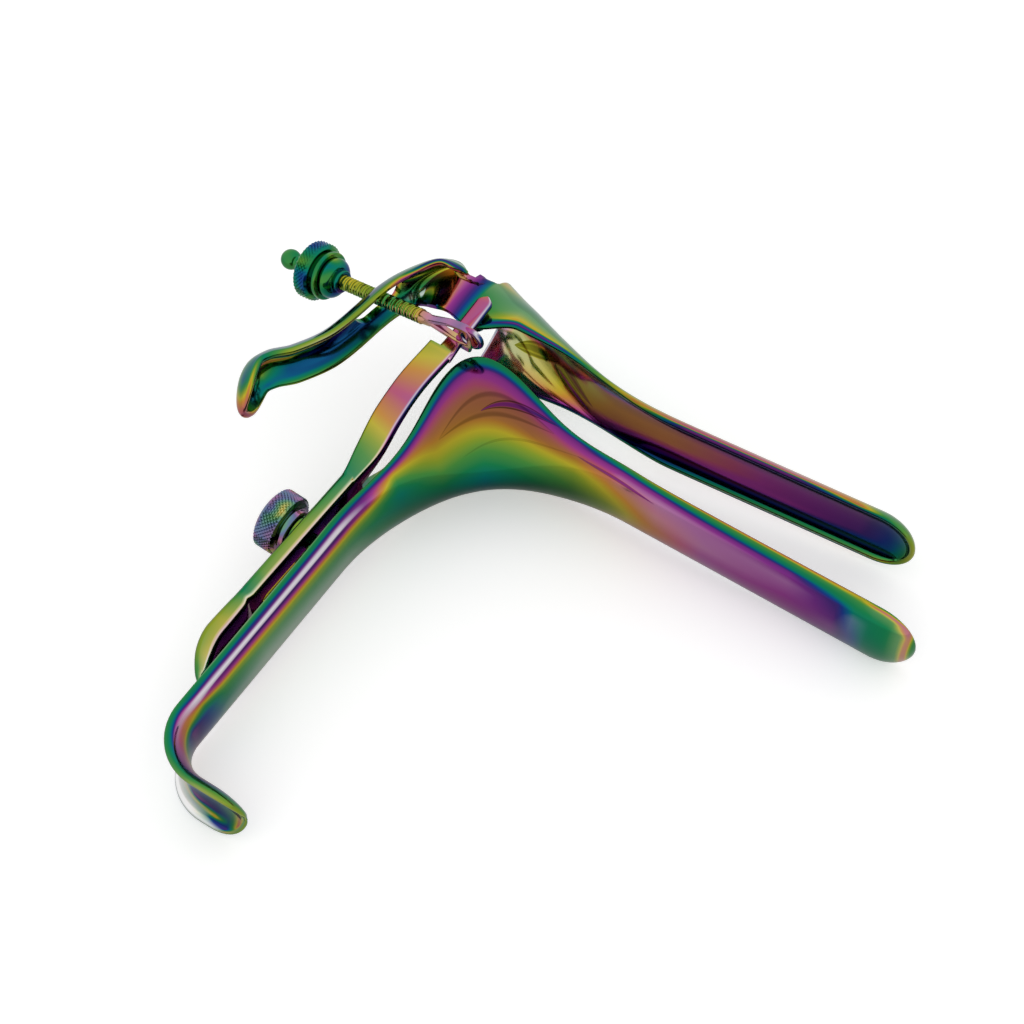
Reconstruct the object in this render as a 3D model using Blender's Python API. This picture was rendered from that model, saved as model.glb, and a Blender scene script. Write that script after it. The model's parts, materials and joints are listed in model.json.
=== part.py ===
"""Duck-bill speculum in polished metal with a rainbow oxide film.

The instrument is modelled upright in its own frame and then laid on its far side:
x runs to the blade tips, y to the far side, z from the lower blade to the upper one.
Sizes are in millimetres and are turned into metres as each mesh is made.
"""

import bpy
import bmesh
import numpy as np
from math import acos, atan2, cos, cosh, hypot, pi, radians, sin, sqrt, tan
from mathutils import Matrix, Vector

for old in list(bpy.data.objects):
    bpy.data.objects.remove(old, do_unlink=True)

MM = 0.001

# Sheet metal and fits
WALL = 1.3                    # thickness of the blades, handle and lever
FIT = 0.3                     # gap between pieces that touch
HINGE_FIT = 0.15              # gap round a pin in its hole

# Lower blade, handle and hook: one channel along a path in the x-z plane
BLADE_RIM_Z = 18.0            # height of the lower blade's rims
BLADE_DEPTH = 5.0             # depth of the lower trough
BLADE_HALF_WIDTH = 9.5
BLADE_TIP_X = 90.0
BLADE_TIP_ROUND = 9.4         # length of the rounded tip
BEND_RADIUS = 44.0            # spine radius from the blade to the handle
BEND_CENTRE_X = 20.2
HANDLE_LEAN = radians(1.8)    # the handle leans back by this much
HANDLE_LENGTH = 50.2          # straight length below the bend
HANDLE_DEPTH = 4.4
HANDLE_HALF_WIDTH = 9.9
WING_RISE = 21.0              # extra depth at the top of the side wings
WING_ANGLE = radians(50.2)    # place of the wings round the bend
WING_SPREAD = 10.8            # how far the wings reach along the spine
WING_GAP = 0.7                # between the wings and the frame's arms
HOOK_RADIUS = 8.3             # spine radius of the hook
HOOK_REACH = 11.6             # straight length of the spoon after the hook
HOOK_TIP_ROUND = 8.5
HOOK_TIP_LEVEL = 0.35         # height of the spoon's tip, as a share of its depth

# Upper blade
UPPER_RIM_Z = 31.05           # height of the rim line at x = 0
UPPER_OPENING = 0.0818        # slope of the upper blade against the lower one
UPPER_DEPTH = 4.8
UPPER_HALF_WIDTH = 9.5
UPPER_TIP_X = 78.6
UPPER_TIP_ROUND = 9.4
MOUTH_X = -32.4               # plane of the mouth's rear edge
MOUTH_TOP_Z = 49.4
MOUTH_HALF_WIDTH = 13.0
CROWN_SLOPE = 0.395           # fall of the crown from the mouth to the throat
CROWN_BLEND = 1.4             # softness of the corner at the throat
THROAT_X = 15.0               # where the mouth's extra width ends
RIM_HUMP = 4.4                # rise of the side rims between the hinge and the throat
HUMP_START_X = -29.5
HUMP_TOP_X = -20.5
HUMP_FALL_X = -12.0
HUMP_END_X = 21.0

# Thumb lever, one piece with the upper blade. Its near edge flares out of the mouth's crown
# and its far edge carries on from the mouth's near side.
LEVER_Y = -13.0               # centre line of the lever
LEVER_HALF_WIDTH = 7.0
LEVER_DEPTH = 4.4
LEVER_WALL = 1.5
LEVER_ROOT_INSET = 1.6        # length of the root that lies on the mouth's wall
LEVER_ROOT_SKIN = 0.1         # the root is this much thicker than that wall on each side
LEVER_ROOT_TOP = radians(50.0)
LEVER_ROOT_LOW = radians(2.0)
LEVER_ROOT_BLEND = 4.5
ROOT_NEAR = (-35.2, -11.3, 40.8)
ROOT_FLOOR = (-35.6, -12.4, 37.5)
ROOT_FAR = (-35.6, -12.2, 28.9)
FLARE_NEAR = (-38.6, -17.8, 37.4)
FLARE_FLOOR = (-40.4, -13.6, 40.0)
FLARE_FAR = (-39.4, -10.6, 29.2)
SHOULDER_NEAR = (-42.4, -20.0, 35.8)
SHOULDER_FLOOR = (-45.4, -13.0, 37.2)
SHOULDER_FAR = (-43.0, -7.6, 30.4)
LEVER_TURN = (-49.4, 32.4)
LEVER_UPPER = (-52.2, 25.2)
LEVER_MIDDLE = (-55.3, 9.4)
LEVER_BEND = (-59.2, 2.1)
LEVER_HEEL = (-63.0, -2.2)
LEVER_PAD = (-64.6, -7.8)
LEVER_TIP = (-61.5, -17.3)
LEVER_TIP_ROUND = 9.0
LEVER_TIP_LEVEL = 0.5
LEVER_SLOT_Z = 23.8           # height at which the screw crosses the lever
LEVER_SLOT_LENGTH = 14.0
LEVER_SLOT_WIDTH = 7.0

# Hinge
HINGE_X = -29.3
HINGE_Z = 31.0
PIN_DIAMETER = 2.4
PIN_HEAD_DIAMETER = 4.0
PIN_HEAD_THICKNESS = 0.9
PIN_HEAD_GAP = 0.5

# Frame
ARM_THICKNESS = 2.4
ARM_GAP = 0.8                 # between the mouth's side and the arm
ARM_WIDTH = 6.4
ARM_X = -31.2
ARM_FOOT_Z = -14.0            # where the arms leave the stem
ARM_KNEE_Z = 1.5              # where the arms turn upright
LUG_WIDTH = 3.9
LUG_STEP_Z = 19.2             # the wide arm ends and the lug begins
LUG_TOP_Z = 35.6
STEM_X = -32.2                # middle of the stem at its top
STEM_LEAN = radians(3.0)
STEM_THICKNESS = 3.8
STEM_HALF_WIDTH = 7.0
STEM_TOP_Z = -13.0
STEM_PINCH_Z = -51.0
PINCH_DEPTH = 0.5
KNOB_SWELL = 0.6
KNOB_END_Z = -71.0
KNOB_CURL = 4.2               # how far the knob's end curls forward
FRAME_CHAMFER = 0.7
SLOT_UP = 16.0                # travel of the frame up the stud
SLOT_DOWN = 1.0
SLOT_SIDE_GAP = 0.4
EYE_X = -25.1
EYE_Z = 22.5
EYE_DIAMETER = 6.6
EYE_HOLE = 3.6
EYE_THICKNESS = 1.4
EYE_REACH = 3.2               # from the arm's outer face to the middle of the eyelet

# Stud, washer and nut on the handle
STUD_Z = -29.6
STUD_DIAMETER = 4.0
STUD_INSET = 0.6              # the stud ends this far inside the nut
WASHER_DIAMETER = 9.0
WASHER_THICKNESS = 1.0
HANDLE_NUT_DIAMETER = 14.3
HANDLE_NUT_LENGTH = 5.6
HANDLE_BEAD_DIAMETER = 9.6
HANDLE_BEAD_LENGTH = 1.5

# Lever screw with its link, ball, seat and nut
SCREW_DIAMETER = 3.5
SCREW_GAP = 0.15              # between a thread and the bores that run on it
LINK_LENGTH = 15.0
LINK_WIDTH = 6.6
LINK_NECK_WIDTH = 3.6
LINK_THICKNESS = 1.9
LINK_BAR = 2.0                # width of the link's end bar
LINK_STRAND = 1.3             # width of its side strands
LINK_SLOT_LENGTH = 9.5
BALL_DIAMETER = 4.8
BALL_DISTANCE = 52.3          # from the eyelet to the ball's centre
BALL_NECK = 3.4               # length of screw between the ball and the nut
LEVER_NUT_DIAMETER = 13.6
LEVER_NUT_LENGTH = 4.0
LEVER_NUT_FLANGE = 11.3
LEVER_NUT_GROOVE = 9.6
LEVER_NUT_FLANGE_LENGTH = 1.2
LEVER_NUT_GROOVE_LENGTH = 0.9
SEAT_DIAMETER = 9.4
SEAT_LENGTH = 2.6
SEAT_NECK_DIAMETER = 5.4
SEAT_NECK_LENGTH = 1.0

ROUND_STEPS = 24

ARM_INNER = MOUTH_HALF_WIDTH + ARM_GAP
ARM_OUTER = ARM_INNER + ARM_THICKNESS


def smooth(a, b, x):
    t = min(max((x - a) / (b - a), 0.0), 1.0)
    return t * t * (3.0 - 2.0 * t)


def material(name, colour, roughness):
    made = bpy.data.materials.new(name)
    made.use_nodes = True
    shader = made.node_tree.nodes["Principled BSDF"]
    shader.inputs["Base Color"].default_value = (*colour, 1.0)
    shader.inputs["Metallic"].default_value = 1.0
    shader.inputs["Roughness"].default_value = roughness
    return made


speculum = bpy.data.objects.new("speculum", None)
bpy.context.scene.collection.objects.link(speculum)


def finish(name, bm, colour, roughness=0.12, origin=(0.0, 0.0, 0.0), turn=None, sharp=35.0, pivot=None):
    """Object from a bmesh given in millimetres about its origin, or in the frame with a pivot."""
    if pivot is not None:
        bmesh.ops.translate(bm, vec=[-c for c in pivot], verts=bm.verts)
        origin = pivot
    bmesh.ops.remove_doubles(bm, verts=bm.verts, dist=0.001)
    bmesh.ops.dissolve_degenerate(bm, edges=bm.edges, dist=0.0005)
    bmesh.ops.triangulate(bm, faces=[f for f in bm.faces if len(f.verts) > 4])
    bmesh.ops.recalc_face_normals(bm, faces=bm.faces)
    bmesh.ops.scale(bm, vec=(MM, MM, MM), verts=bm.verts)
    mesh = bpy.data.meshes.new(name)
    bm.to_mesh(mesh)
    bm.free()
    mesh.shade_smooth()
    mesh.set_sharp_from_angle(angle=radians(sharp))
    made = bpy.data.objects.new(name, mesh)
    made.data.materials.append(material(name, colour, roughness))
    bpy.context.scene.collection.objects.link(made)
    made.parent = speculum
    made.location = [MM * c for c in origin]
    if turn is not None:
        made.rotation_euler = turn.to_euler()
    return made


def grid_solid(bm, outer, inner):
    """Closed sheet between two grids of points, rows from one end to the other."""
    rows = len(outer)
    columns = len(outer[0])
    top = [[bm.verts.new(p) for p in row] for row in outer]
    low = [[bm.verts.new(p) for p in row] for row in inner]
    for i in range(rows - 1):
        for j in range(columns - 1):
            bm.faces.new((top[i][j], top[i][j + 1], top[i + 1][j + 1], top[i + 1][j]))
            bm.faces.new((low[i][j], low[i + 1][j], low[i + 1][j + 1], low[i][j + 1]))
        bm.faces.new((top[i][0], top[i + 1][0], low[i + 1][0], low[i][0]))
        bm.faces.new((top[i + 1][-1], top[i][-1], low[i][-1], low[i + 1][-1]))
    for j in range(columns - 1):
        bm.faces.new((top[0][j + 1], top[0][j], low[0][j], low[0][j + 1]))
        bm.faces.new((top[-1][j], top[-1][j + 1], low[-1][j + 1], low[-1][j]))


def sheet(surface, stations, columns, wall, side):
    """Grids of a surface and of its copy moved by the wall to its hollow side."""
    outer = []
    inner = []
    step = 1e-3
    first = stations[0]
    last = stations[-1]
    for s in stations:
        at = min(max(s, first + 2.0 * step), last - 2.0 * step)
        row = []
        back = []
        for j in range(columns + 1):
            f = j / columns
            g = min(max(f, step), 1.0 - step)
            along = np.subtract(surface(at + step, g), surface(at - step, g))
            across = np.subtract(surface(at, g + step), surface(at, g - step))
            normal = np.cross(along, across)
            normal = normal / np.linalg.norm(normal)
            point = np.array(surface(s, f))
            row.append(tuple(point))
            back.append(tuple(point + side * wall * normal))
        outer.append(row)
        inner.append(back)
    return outer, inner


def end_share(distance, length):
    """Size left of a rounded end at a distance from its tip: 0 at the tip, 1 past it."""
    u = 1.0 - min(max(distance / length, 0.0), 1.0)
    return sqrt(max(1.0 - u * u, 0.0))


def end_stations(length, count):
    """Distances from a rounded tip, close together where the outline turns."""
    return [length * (1.0 - cos(0.5 * pi * i / count)) for i in range(count + 1)]


# Path of the lower channel's spine, from the blade tip to the tip of the hook
BLADE_SPINE_Z = BLADE_RIM_Z - BLADE_DEPTH
BLADE_STRAIGHT = BLADE_TIP_X - BEND_CENTRE_X
BEND_TURN = 0.5 * pi - HANDLE_LEAN
HOOK_TURN = 0.5 * pi + HANDLE_LEAN
LOWER_PATH = (
    (BLADE_STRAIGHT, 0.0),
    (BEND_RADIUS * BEND_TURN, 1.0 / BEND_RADIUS),
    (HANDLE_LENGTH, 0.0),
    (HOOK_RADIUS * HOOK_TURN, 1.0 / HOOK_RADIUS),
    (HOOK_REACH, 0.0),
)
LOWER_LENGTH = sum(length for length, curvature in LOWER_PATH)
BEND_START = BLADE_STRAIGHT
HANDLE_START = BEND_START + BEND_RADIUS * BEND_TURN
HOOK_START = HANDLE_START + HANDLE_LENGTH
SPOON_START = HOOK_START + HOOK_RADIUS * HOOK_TURN
WING_PLACE = BEND_START + BEND_RADIUS * (0.5 * pi - WING_ANGLE)


def lower_spine(s):
    """Point and heading of the spine at a distance from the blade tip."""
    x = BLADE_TIP_X
    z = BLADE_SPINE_Z
    heading = pi
    for length, curvature in LOWER_PATH:
        run = min(s, length)
        if curvature == 0.0:
            x += run * cos(heading)
            z += run * sin(heading)
        else:
            turned = heading + run * curvature
            x += (sin(turned) - sin(heading)) / curvature
            z -= (cos(turned) - cos(heading)) / curvature
            heading = turned
        s -= run
        if s <= 0.0:
            break
    return x, z, heading


def lower_size(s):
    """Half-width and depth of the lower channel."""
    wing = 1.0 / cosh((s - WING_PLACE) / WING_SPREAD) ** 2
    flare = 1.0 / cosh((s - WING_PLACE) / (1.5 * WING_SPREAD)) ** 2
    grip = smooth(BEND_START, HANDLE_START, s)
    width = BLADE_HALF_WIDTH + (HANDLE_HALF_WIDTH - BLADE_HALF_WIDTH) * grip
    width += (ARM_INNER - WING_GAP - width) * flare
    depth = BLADE_DEPTH + (HANDLE_DEPTH - BLADE_DEPTH) * grip + WING_RISE * wing
    return width, depth


def lower_surface(s, f):
    """Outer face of the lower channel: s along the spine, f across from near to far."""
    x, z, heading = lower_spine(s)
    width, depth = lower_size(s)
    near_tip = end_share(s, BLADE_TIP_ROUND)
    far_tip = end_share(LOWER_LENGTH - s, HOOK_TIP_ROUND)
    share = near_tip * far_tip
    level = 1.0 if s < 0.5 * LOWER_LENGTH else HOOK_TIP_LEVEL
    angle = pi * f
    rise = depth * (level + (1.0 - sin(angle) - level) * share)
    side = -width * share * cos(angle)
    return x + rise * sin(heading), side, z - rise * cos(heading)


def lower_stations():
    made = end_stations(BLADE_TIP_ROUND, 7)
    made += [BLADE_TIP_ROUND + (BEND_START - BLADE_TIP_ROUND) * i / 4 for i in range(1, 5)]
    made += [BEND_START + (HANDLE_START - BEND_START) * i / 22 for i in range(1, 23)]
    made += [HANDLE_START + HANDLE_LENGTH * i / 3 for i in range(1, 4)]
    made += [HOOK_START + (SPOON_START - HOOK_START) * i / 8 for i in range(1, 9)]
    tip = [LOWER_LENGTH - d for d in reversed(end_stations(HOOK_TIP_ROUND, 6))]
    return made + tip


bm = bmesh.new()
grid_solid(bm, *sheet(lower_surface, lower_stations(), 20, WALL, -1.0))
lower_blade = finish("lower_blade", bm, (0.35, 0.45, 0.25), sharp=50.0)


# Upper blade: a trough under a crown line that rises to the arch of the mouth
def upper_rim(x):
    hump = smooth(HUMP_START_X, HUMP_TOP_X, x) * (1.0 - smooth(HUMP_FALL_X, HUMP_END_X, x))
    return UPPER_RIM_Z + UPPER_OPENING * x + RIM_HUMP * hump


def upper_crown(x):
    blade = UPPER_RIM_Z + UPPER_OPENING * x + UPPER_DEPTH
    arch = MOUTH_TOP_Z - CROWN_SLOPE * (x - MOUTH_X)
    return 0.5 * (blade + arch) + hypot(0.5 * (blade - arch), CROWN_BLEND) - 0.2


def upper_half_width(x):
    extra = 1.0 - smooth(MOUTH_X + 6.0, THROAT_X, x)
    return UPPER_HALF_WIDTH + (MOUTH_HALF_WIDTH - UPPER_HALF_WIDTH) * extra


def upper_surface(s, f):
    """Outer face of the upper blade: s from the tip to the mouth."""
    x = UPPER_TIP_X - s
    share = end_share(s, UPPER_TIP_ROUND)
    rim = upper_rim(x)
    depth = upper_crown(x) - rim
    angle = pi * f
    side = -upper_half_width(x) * share * cos(angle)
    return x, side, rim + depth * share * sin(angle)


UPPER_LENGTH = UPPER_TIP_X - MOUTH_X


def upper_stations():
    made = end_stations(UPPER_TIP_ROUND, 7)
    blade = UPPER_TIP_X - HUMP_END_X
    made += [UPPER_TIP_ROUND + (blade - UPPER_TIP_ROUND) * i / 3 for i in range(1, 4)]
    made += [blade + (UPPER_LENGTH - blade) * i / 18 for i in range(1, 19)]
    return made


# Lever: rows of three points (near edge, floor, far edge) joined by a smooth sheet
LEVER_PROFILE = (LEVER_TURN, LEVER_UPPER, LEVER_MIDDLE, LEVER_BEND, LEVER_HEEL, LEVER_PAD, LEVER_TIP)


def arch_inner(x, f):
    """Point just inside the mouth's wall, f from its crown side to its lower edge."""
    angle = LEVER_ROOT_TOP + (LEVER_ROOT_LOW - LEVER_ROOT_TOP) * f
    rim = upper_rim(x)
    inset = WALL + LEVER_ROOT_SKIN
    width = upper_half_width(x) - inset
    height = upper_crown(x) - rim - inset
    return np.array((x, -width * cos(angle), rim + height * sin(angle)))


def lever_rows():
    """Near edge, floor and far edge of each row from the mouth to the tip."""
    made = [
        tuple(arch_inner(MOUTH_X, f) for f in (0.0, 0.5, 1.0)),
        (np.array(ROOT_NEAR), np.array(ROOT_FLOOR), np.array(ROOT_FAR)),
        (np.array(FLARE_NEAR), np.array(FLARE_FLOOR), np.array(FLARE_FAR)),
        (np.array(SHOULDER_NEAR), np.array(SHOULDER_FLOOR), np.array(SHOULDER_FAR)),
    ]
    points = ((SHOULDER_FLOOR[0], SHOULDER_FLOOR[2]),) + LEVER_PROFILE
    for i in range(1, len(points)):
        before = points[i - 1]
        after = points[min(i + 1, len(points) - 1)]
        run = hypot(after[0] - before[0], after[1] - before[1])
        front = LEVER_DEPTH * np.array((-(after[1] - before[1]) / run, 0.0, (after[0] - before[0]) / run))
        floor = np.array((points[i][0], LEVER_Y, points[i][1]))
        side = np.array((0.0, LEVER_HALF_WIDTH, 0.0))
        made.append((floor + front - side, floor, floor + front + side))
    return made


LEVER_ROWS = lever_rows()
LEVER_KNOTS = [0.0]
for a, b in zip(LEVER_ROWS, LEVER_ROWS[1:]):
    LEVER_KNOTS.append(LEVER_KNOTS[-1] + float(np.linalg.norm(b[1] - a[1])))
LEVER_LENGTH = LEVER_KNOTS[-1]


def lever_row(s):
    """Row at a distance along the floor, smooth through the given rows."""
    s = min(max(s, 0.0), LEVER_LENGTH)
    i = 0
    while i < len(LEVER_KNOTS) - 2 and s > LEVER_KNOTS[i + 1]:
        i += 1
    span = LEVER_KNOTS[i + 1] - LEVER_KNOTS[i]
    t = (s - LEVER_KNOTS[i]) / span
    weights = (2 * t ** 3 - 3 * t ** 2 + 1, t ** 3 - 2 * t ** 2 + t, -2 * t ** 3 + 3 * t ** 2, t ** 3 - t ** 2)
    row = []
    for c in range(3):
        slopes = []
        for k in (i, i + 1):
            a = max(k - 1, 0)
            b = min(k + 1, len(LEVER_ROWS) - 1)
            slopes.append((LEVER_ROWS[b][c] - LEVER_ROWS[a][c]) / (LEVER_KNOTS[b] - LEVER_KNOTS[a]))
        row.append(
            weights[0] * LEVER_ROWS[i][c] + weights[1] * span * slopes[0]
            + weights[2] * LEVER_ROWS[i + 1][c] + weights[3] * span * slopes[1]
        )
    return row


def lever_surface(s, f):
    """Back face of the lever: negative s lies on the mouth's wall."""
    if s <= 0.0:
        return tuple(arch_inner(MOUTH_X - s, f))
    near, floor, far = lever_row(s)
    curve = near * (1 - f) * (1 - 2 * f) + floor * 4 * f * (1 - f) + far * f * (2 * f - 1)
    near, floor0, far0 = LEVER_ROWS[0]
    start = near * (1 - f) * (1 - 2 * f) + floor0 * 4 * f * (1 - f) + far0 * f * (2 * f - 1)
    point = curve + (arch_inner(MOUTH_X, f) - start) * (1.0 - smooth(0.0, LEVER_ROOT_BLEND, s))
    share = end_share(LEVER_LENGTH - s, LEVER_TIP_ROUND)
    if share < 1.0:
        near, floor, far = lever_row(s)
        centre = floor + LEVER_TIP_LEVEL * (0.5 * (near + far) - floor)
        point = centre + (point - centre) * share
    return tuple(point)


def lever_stations():
    made = [-LEVER_ROOT_INSET, 0.0]
    body = LEVER_LENGTH - LEVER_TIP_ROUND
    made += [body * i / 22 for i in range(1, 22)]
    made += [LEVER_LENGTH - d for d in reversed(end_stations(LEVER_TIP_ROUND, 6))]
    return made


def cutter(made):
    """Mark an object as a helper that only shapes others."""
    made.hide_render = True
    made.display_type = "WIRE"
    return made


def boolean(target, other, operation):
    step = target.modifiers.new(other.name, "BOOLEAN")
    step.operation = operation
    step.solver = "EXACT"
    step.object = cutter(other)


def prism(name, outline, low, high, turn=None, origin=(0.0, 0.0, 0.0)):
    """Solid from an outline in the x-z plane, between two values of y."""
    bm = bmesh.new()
    front = [bm.verts.new((x, low, z)) for x, z in outline]
    back = [bm.verts.new((x, high, z)) for x, z in outline]
    bm.faces.new(front)
    bm.faces.new(back[::-1])
    count = len(outline)
    for i in range(count):
        k = (i + 1) % count
        bm.faces.new((front[i], back[i], back[k], front[k]))
    return finish(name, bm, (0.5, 0.5, 0.5), origin=origin, turn=turn)


def turned(bm, profile, steps=ROUND_STEPS):
    """Closed profile of (x, radius) points turned about the x axis."""
    rings = []
    for x, radius in profile:
        ring = []
        for k in range(steps):
            angle = 2.0 * pi * (k + 0.5) / steps
            ring.append(bm.verts.new((x, radius * cos(angle), radius * sin(angle))))
        rings.append(ring)
    count = len(profile)
    for i in range(count):
        a = rings[i]
        b = rings[(i + 1) % count]
        if profile[i][1] == 0.0 and profile[(i + 1) % count][1] == 0.0:
            continue
        for k in range(steps):
            m = (k + 1) % steps
            bm.faces.new((a[k], a[m], b[m], b[k]))


def rod(name, start, end, radius, turn, origin):
    """Plain cylinder along its own x axis."""
    bm = bmesh.new()
    turned(bm, ((start, 0.0), (start, radius), (end, radius), (end, 0.0)))
    return finish(name, bm, (0.5, 0.5, 0.5), turn=turn, origin=origin)


# The upper blade with its lever
bm = bmesh.new()
grid_solid(bm, *sheet(upper_surface, upper_stations(), 22, WALL, 1.0))
upper_blade = finish("upper_blade", bm, (0.3, 0.3, 0.45), sharp=50.0, pivot=(HINGE_X, 0.0, HINGE_Z))

bm = bmesh.new()
grid_solid(bm, *sheet(lever_surface, lever_stations(), 14, LEVER_WALL, 1.0))
lever = finish("lever", bm, (0.3, 0.3, 0.45), sharp=50.0)
boolean(upper_blade, lever, "UNION")

# The screw's line runs from the eyelet through the lever's slot
EYE = Vector((EYE_X, -(ARM_OUTER + EYE_REACH), EYE_Z))
places = [LEVER_LENGTH * i / 400 for i in range(401)]
SLOT_PLACE = float(np.interp(-LEVER_SLOT_Z, [-lever_row(s)[1][2] for s in places], places))
SLOT_POINT = Vector(lever_row(SLOT_PLACE)[1])
before = lever_row(SLOT_PLACE - 1.0)[1]
after = lever_row(SLOT_PLACE + 1.0)[1]
SLOT_HEADING = atan2(after[2] - before[2], after[0] - before[0])
AXIS_X = (SLOT_POINT - EYE).normalized()
AXIS_Z = (Vector((0.0, 0.0, 1.0)) - AXIS_X * AXIS_X.z).normalized()
AXIS_Y = AXIS_Z.cross(AXIS_X)
SCREW_TURN = Matrix((AXIS_X, AXIS_Y, AXIS_Z)).transposed()

# Rounded slot through the lever, along it, for the screw
slot_half = 0.5 * LEVER_SLOT_LENGTH
slot_radius = 0.5 * LEVER_SLOT_WIDTH
slot_outline = []
for k in range(13):
    angle = pi * k / 12
    slot_outline.append((slot_radius * cos(angle), slot_half - slot_radius + slot_radius * sin(angle)))
for k in range(13):
    angle = pi + pi * k / 12
    slot_outline.append((slot_radius * cos(angle), slot_radius - slot_half + slot_radius * sin(angle)))
along = Vector((cos(SLOT_HEADING), 0.0, sin(SLOT_HEADING)))
through = along.cross(Vector((0.0, 1.0, 0.0)))
slot_turn = Matrix((Vector((0.0, 1.0, 0.0)), through, along)).transposed()
if slot_turn.determinant() < 0.0:
    slot_turn = Matrix((Vector((0.0, -1.0, 0.0)), through, along)).transposed()
lever_slot = prism("lever_slot", slot_outline, -9.0, 9.0, turn=slot_turn, origin=SLOT_POINT)
boolean(upper_blade, lever_slot, "DIFFERENCE")

# Hinge pins, near and far, with their holes in the mouth's sides
SIDE_TURN = Matrix.Rotation(0.5 * pi, 3, "Z")
pin_hole = rod(
    "pin_hole", -ARM_OUTER - 2.0, ARM_OUTER + 2.0, 0.5 * PIN_DIAMETER + HINGE_FIT,
    SIDE_TURN, (HINGE_X, 0.0, HINGE_Z),
)
boolean(upper_blade, pin_hole, "DIFFERENCE")

HEAD_FACE = MOUTH_HALF_WIDTH - WALL - PIN_HEAD_GAP
PIN_END = ARM_OUTER - 0.8
for name, side in (("hinge_pin_near", -1.0), ("hinge_pin_far", 1.0)):
    bm = bmesh.new()
    head = 0.5 * PIN_HEAD_DIAMETER
    shank = 0.5 * PIN_DIAMETER
    turned(bm, (
        (side * (HEAD_FACE - PIN_HEAD_THICKNESS), 0.0),
        (side * (HEAD_FACE - PIN_HEAD_THICKNESS), 0.8 * head),
        (side * (HEAD_FACE - 0.5 * PIN_HEAD_THICKNESS), head),
        (side * HEAD_FACE, head),
        (side * HEAD_FACE, shank),
        (side * PIN_END, shank),
        (side * PIN_END, 0.0),
    ))
    finish(name, bm, (0.3, 0.4, 0.3), origin=(HINGE_X, 0.0, HINGE_Z), turn=SIDE_TURN)


# Frame: stem with knob, two arms, two lugs and the eyelet
def bar_section(centre, wide, thick, width, thickness):
    """Chamfered rectangle about a point: width along one axis, thickness along the other."""
    cut = min(FRAME_CHAMFER, 0.3 * width, 0.3 * thickness)
    a = 0.5 * width
    b = 0.5 * thickness
    corners = (
        (a, b - cut), (a - cut, b), (cut - a, b), (-a, b - cut),
        (-a, cut - b), (cut - a, -b), (a - cut, -b), (a, cut - b),
    )
    return [Vector(centre) + Vector(wide) * u + Vector(thick) * v for u, v in corners]


def loft(bm, sections):
    rings = [[bm.verts.new(p) for p in section] for section in sections]
    count = len(rings[0])
    for a, b in zip(rings, rings[1:]):
        for k in range(count):
            m = (k + 1) % count
            bm.faces.new((a[k], a[m], b[m], b[k]))
    bm.faces.new(rings[0][::-1])
    bm.faces.new(rings[-1])


def stem_x(z):
    return STEM_X - tan(STEM_LEAN) * (STEM_TOP_Z - z)


KNOB_LENGTH = STEM_PINCH_Z - KNOB_END_Z


def stem_station(z):
    """Middle, thickness and half-width of the stem and its knob at a height."""
    below = max(STEM_PINCH_Z - z, 0.0) / KNOB_LENGTH
    pinch = PINCH_DEPTH * max(1.0 - abs(z - STEM_PINCH_Z) / 1.6, 0.0)
    curl = KNOB_CURL * max((below - 0.45) / 0.55, 0.0) ** 2
    swell = KNOB_SWELL * sin(pi * min(below, 1.0))
    thickness = STEM_THICKNESS + swell - pinch
    thickness *= 1.0 - 0.3 * smooth(0.7, 1.0, below)
    half_width = STEM_HALF_WIDTH * sqrt(1.0 - 0.75 * smooth(0.45, 1.0, below))
    return stem_x(z) - 0.5 * pinch + curl, thickness, half_width


heights = [STEM_TOP_Z + (STEM_PINCH_Z + 1.6 - STEM_TOP_Z) * i / 3 for i in range(4)]
heights += [STEM_PINCH_Z, STEM_PINCH_Z - 1.6]
heights += [STEM_PINCH_Z - 1.6 + (KNOB_END_Z - STEM_PINCH_Z + 1.6) * i / 8 for i in range(1, 9)]
sections = []
for z in heights:
    x, thickness, half_width = stem_station(z)
    above = stem_station(z + 0.4)[0]
    lower = stem_station(z - 0.4)[0]
    heading = Vector((above - lower, 0.0, 0.8)).normalized()
    across = Vector((heading.z, 0.0, -heading.x))
    sections.append(bar_section((x, 0.0, z), across, (0.0, 1.0, 0.0), thickness, 2.0 * half_width))
bm = bmesh.new()
loft(bm, sections)
frame = finish("frame", bm, (0.45, 0.5, 0.15), pivot=(stem_x(STUD_Z), 0.0, STUD_Z))

ARM_Y = ARM_INNER + 0.5 * ARM_THICKNESS
FOOT_Y = 0.5 * STEM_HALF_WIDTH + 0.2
arm_path = (
    (stem_x(ARM_FOOT_Z - 8.0), FOOT_Y, ARM_FOOT_Z - 8.0, STEM_THICKNESS - 0.4, STEM_HALF_WIDTH - 1.2),
    (stem_x(ARM_FOOT_Z), FOOT_Y + 0.6, ARM_FOOT_Z, STEM_THICKNESS, STEM_HALF_WIDTH - 1.6),
    (0.5 * (STEM_X + ARM_X), 0.54 * ARM_Y, ARM_FOOT_Z + 6.0, ARM_WIDTH - 0.6, ARM_THICKNESS + 1.0),
    (ARM_X - 0.2, ARM_Y - 2.0, ARM_KNEE_Z - 2.0, ARM_WIDTH, ARM_THICKNESS + 0.4),
    (ARM_X, ARM_Y - 0.4, ARM_KNEE_Z + 2.0, ARM_WIDTH, ARM_THICKNESS),
    (ARM_X, ARM_Y, ARM_KNEE_Z + 5.0, ARM_WIDTH, ARM_THICKNESS),
    (ARM_X + 0.6, ARM_Y, LUG_STEP_Z, ARM_WIDTH, ARM_THICKNESS),
)
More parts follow.
